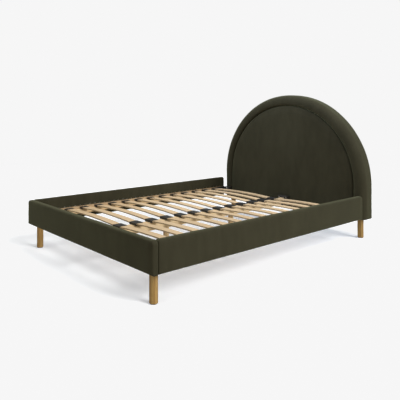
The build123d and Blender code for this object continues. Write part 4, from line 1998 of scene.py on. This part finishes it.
    def build_screws(self) -> None:
        """The screws of the ledgers and of the centre rail's hangers."""
        low, high = extent("slat_ledgers")
        face = high[0] - self.ledger_width
        ledger = []
        for side, about in ((1, 0.0), (-1, math.pi)):
            for index in range(1, self.ledger_screw_count + 1):
                row = low[1] + (high[1] - low[1]) * index / (self.ledger_screw_count + 1)
                spin = self.screw_spin * index + side
                ledger.append(((side * face, row, self.ledger_screw_height), (spin, 0.0, about)))
        low, high = extent("centre_rail_hangers")
        ends = ((low[1] + self.hanger_plate, -QUARTER), (high[1] - self.hanger_plate, QUARTER))
        hanger = []
        for side in (1, -1):
            for height in self.screw_pair_heights:
                for end, turn in ends:
                    hanger.append(((side * self.hanger_screw_x, end, height), (turn, 0.0, 0.0)))
        screw = self.screw("ledger_screw", self.ledger_screw)
        screw.rotation_euler = (0.0, -QUARTER, 0.0)
        settle(screw)
        piece = copy_to("ledger_wood_screws", screw, ledger)
        smooth(piece, 30)
        self.place(piece, self.finishes.zinc, "zinc_steel", ["ledger_screws"])
        piece = copy_to("hanger_wood_screws", self.screw("hanger_screw", self.hanger_screw), hanger)
        smooth(piece, 30)
        self.place(piece, self.finishes.zinc, "zinc_steel", ["hanger_screws"])

    def staple(self) -> Piece:
        """A driven staple's crown along X, facing up from the origin.

        Returns:
            The staple.
        """
        half, wide, proud = self.staple_crown / 2, self.staple_width / 2, self.staple_proud
        piece = slab("staple", (-half, -wide, -self.staple_sunk), (half, wide, proud))

        def at_end(edge: bmesh.types.BMEdge) -> bool:
            """Whether an edge is an upper one at the crown's end."""
            return all(abs(v.co.x) > half - SAME_PLACE and v.co.z > 0 for v in edge.verts)

        def on_top(edge: bmesh.types.BMEdge) -> bool:
            """Whether an edge lies on the crown's upper face."""
            return all(v.co.z > proud - SAME_PLACE for v in edge.verts)

        bevel_edges(piece, at_end, self.staple_round, 2)
        bevel_edges(piece, on_top, self.staple_edge, 1)
        return piece

    def row(self, start: Point, end: Point, turn: Point) -> list[Spot]:
        """Spots for staples along a straight hem, each a little out of line as a hand gun leaves them.

        Args:
            start: The first staple's place.
            end: The last staple's place.
            turn: How the row's staples are turned, in radians.

        Returns:
            The spots.
        """
        first, step = Vector(start), Vector(end) - Vector(start)
        count = round(step.length / self.staple_gap)
        spots = []
        for index in range(count + 1):
            lean = self.staple_lean * math.sin(self.lean_step * index + self.lean_rise * first.z)
            spots.append((tuple(first + step * index / count), (turn[0], turn[1] + lean, turn[2])))
        return spots

    def hem_spots(self) -> list[Spot]:
        """Spots for the staples along the bare bands of the foot and side panels.

        Returns:
            The spots.
        """
        y = extent("footboard_cover")[1][1]
        x = extent("right_side_cover")[0][0]
        reach = self.hem_foot_reach
        foot, head = self.hem_side_span
        spots = []
        for z in self.hem_heights:
            spots += self.row((-reach, y, z), (reach, y, z), (-QUARTER, 0.0, 0.0))
            for side in (1, -1):
                spots += self.row((side * x, foot, z), (side * x, head, z), (-QUARTER, 0.0, side * QUARTER))
        return spots

    def lining_spots(self) -> list[Spot]:
        """Spots for the staples round the headboard's back lining.

        Returns:
            The spots.
        """
        high = extent("headboard_border_cover")[1]
        face, centre = high[1] - self.lining_sink, high[2] - high[0]
        reach, bottom = self.lining_reach, self.lining_bottom
        across = reach - self.lining_corner
        spots = self.row((-across, face, bottom), (across, face, bottom), (-QUARTER, 0.0, 0.0))
        for side in (1, -1):
            top = (side * reach, face, centre - self.lining_shoulder)
            spots += self.row((side * reach, face, bottom), top, (-QUARTER, QUARTER, 0.0))
        count = round(math.pi * reach / self.staple_gap)
        for index in range(count + 1):
            turn = math.pi * (index / count - 0.5)
            place = (reach * math.sin(turn), face, centre + reach * math.cos(turn))
            lean = self.arch_lean * math.sin(self.arch_lean_step * index)
            spots.append((place, (-QUARTER, turn + lean, 0.0)))
        return spots

    def build_staples(self) -> None:
        """The staples along the panels' hems and round the headboard's back lining."""
        for name, spots in (("hem_staples", self.hem_spots()), ("back_staples", self.lining_spots())):
            self.place(copy_to(name, self.staple(), spots), self.finishes.zinc, "zinc_steel")


@dataclass(frozen=True)
class Sun:
    """One large soft light that shines evenly over the whole floor."""

    name: str
    place: Point
    width: float
    strength: float

    def build(self) -> None:
        """Add the light, which shines from its place towards the bed's middle."""
        clear()
        bpy.ops.object.light_add(type="SUN", location=self.place)
        lamp = bpy.context.active_object
        lamp.name = self.name
        lamp.data.angle = math.radians(self.width)
        lamp.data.energy = self.strength
        lamp.rotation_euler = (-Vector(self.place)).to_track_quat("-Z", "Y").to_euler()


@dataclass(frozen=True)
class SoftBox:
    """A gridded soft box above the slats that lights the headboard's front alone."""

    place: Point = (-0.4, -0.6, 2.1)
    aim: Point = (0.0, 0.9, 0.72)
    size: float = 1.2
    width: float = 70.0
    strength: float = 4.9
    colour: Colour = (0.88, 1.0, 1.2)

    def build(self) -> None:
        """Add the light."""
        clear()
        bpy.ops.object.light_add(type="AREA", location=self.place)
        lamp = bpy.context.active_object
        lamp.name = "headboard_light"
        lamp.data.size = self.size
        lamp.data.spread = math.radians(self.width)
        lamp.data.energy = self.strength
        lamp.data.color = self.colour
        lamp.visible_camera = False
        lamp.rotation_euler = (Vector(self.aim) - Vector(self.place)).to_track_quat("-Z", "Y").to_euler()


@dataclass
class Studio:
    """A pale floor, soft light and the camera."""

    suns: tuple[Sun, ...] = (
        Sun("key_light", (6.0, 1.6, 4.6), width=28.0, strength=2.3),
        Sun("top_light", (0.6, -0.7, 6.0), width=60.0, strength=1.35),
    )
    floor_size: float = 120.0
    floor_tones: tuple[Colour, Colour] = ((0.985, 0.985, 0.985), (1.0, 1.0, 1.0))
    floor_glow: Colour = (0.74, 0.98, 1.42)
    fade_start: float = 2.5
    fade_width: float = 3.5
    eye: Point = (2.549, -2.438, 0.939)
    turn: float = 49.86
    lens: float = 43.67
    sensor: float = 36.0
    shift: Pair = (0.058, -0.2186)
    white: float = 0.923
    ambient: Colour = (0.330, 0.312, 0.268)
    bounce: Colour = (0.52, 0.50, 0.44)
    lift: float = 0.11

    def build(self) -> None:
        """Set the floor, the lights and the camera."""
        self.build_floor()
        for sun in self.suns:
            sun.build()
        SoftBox().build()
        self.build_world()
        self.build_camera()
        self.set_white()

    def build_floor(self) -> None:
        """A wide floor that fades into the backdrop far from the bed."""
        clear()
        bpy.ops.mesh.primitive_plane_add(size=self.floor_size, location=(0, 0, 0))
        floor = active("studio_floor")
        graph = Graph("studio_floor")
        seen = graph.camera_sees()
        dark, light = self.floor_tones
        paint = graph.ramp(graph.clouds(graph.place, scale=6.0), (0.3, dark), (0.7, light))
        graph.finish(
            base_color=graph.blend(seen, self.bounce, paint),
            roughness=0.9,
            specular_ior_level=0.1,
            emission_color=self.floor_glow,
            emission_strength=graph.math("MULTIPLY", seen, self.lift),
        )
        glow = graph.tree.nodes.new("ShaderNodeEmission")
        graph.put(glow, "Color", graph.blend(seen, self.ambient, (self.white, self.white, self.white)))
        squares = [graph.math("MULTIPLY", side, side) for side in (
            graph.axis(graph.place, "X"), graph.axis(graph.place, "Y"))]
        far = graph.math("SQRT", graph.math("ADD", *squares))
        past = graph.math("SUBTRACT", far, self.fade_start)
        mix = graph.tree.nodes.new("ShaderNodeMixShader")
        graph.put(mix, 0, graph.math("DIVIDE", past, self.fade_width, clamp=True))
        graph.put(mix, 1, graph.shader.outputs["BSDF"])
        graph.put(mix, 2, glow.outputs[0])
        graph.put(graph.output, "Surface", mix.outputs[0])
        dress(floor, graph.material)

    def set_white(self) -> None:
        """Let whites clip softly at the backdrop's tone, as in a bright studio picture."""
        view = bpy.context.scene.view_settings
        view.view_transform = "Standard"
        view.use_curve_mapping = True
        mapping = view.curve_mapping
        mapping.extend = "HORIZONTAL"
        curve = mapping.curves[3]
        curve.points[1].location = (self.white, self.white)
        for point in curve.points:
            point.handle_type = "VECTOR"
        mapping.update()

    def build_world(self) -> None:
        """An even surround: white where the camera sees it, and dimmer as light on the bed."""
        world = bpy.data.worlds.new("surround")
        world.use_nodes = True
        tree = world.node_tree
        backdrop = tree.nodes["Background"]
        backdrop.inputs[0].default_value = (self.white, self.white, self.white, 1.0)
        glow = tree.nodes.new("ShaderNodeBackground")
        glow.inputs[0].default_value = (*self.ambient, 1.0)
        seen = tree.nodes.new("ShaderNodeLightPath").outputs["Is Camera Ray"]
        mix = tree.nodes.new("ShaderNodeMixShader")
        tree.links.new(seen, mix.inputs[0])
        tree.links.new(glow.outputs[0], mix.inputs[1])
        tree.links.new(backdrop.outputs[0], mix.inputs[2])
        tree.links.new(mix.outputs[0], tree.nodes["World Output"].inputs["Surface"])
        bpy.context.scene.world = world

    def build_camera(self) -> None:
        """The camera at the photograph's place and angle."""
        clear()
        level_turn = (math.radians(90), 0, math.radians(self.turn))
        bpy.ops.object.camera_add(location=self.eye, rotation=level_turn)
        camera = bpy.context.active_object
        camera.data.sensor_width = self.sensor
        camera.data.lens = self.lens
        camera.data.shift_x, camera.data.shift_y = self.shift
        bpy.context.scene.camera = camera


def main() -> None:
    """Build the bed's looks around its frame."""
    logging.basicConfig(level=logging.INFO, format="%(name)s %(message)s")
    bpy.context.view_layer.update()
    finishes = Finishes()
    Headboard(finishes).build()
    PaddedPanel(finishes, name="footboard", window_reach=0.6885).build()
    sides = (("right_side", Facing.RIGHT, 1, 11.0), ("left_side", Facing.LEFT, -1, 23.0))
    for name, facing, fold_side, seed in sides:
        panel = PaddedPanel(
            finishes, name=name, facing=facing, fold_side=fold_side, seed=seed, end_gap=0.0025, long_cuts=120)
        panel.build()
    SlatBase(finishes).build()
    Legs(finishes).build()
    for number in (1, 2):
        ScrewFoot(finishes, f"screw_foot_{number}", number=number).build()
    Hardware(finishes).build()
    Studio().build()


if __name__ == "__main__":
    main()
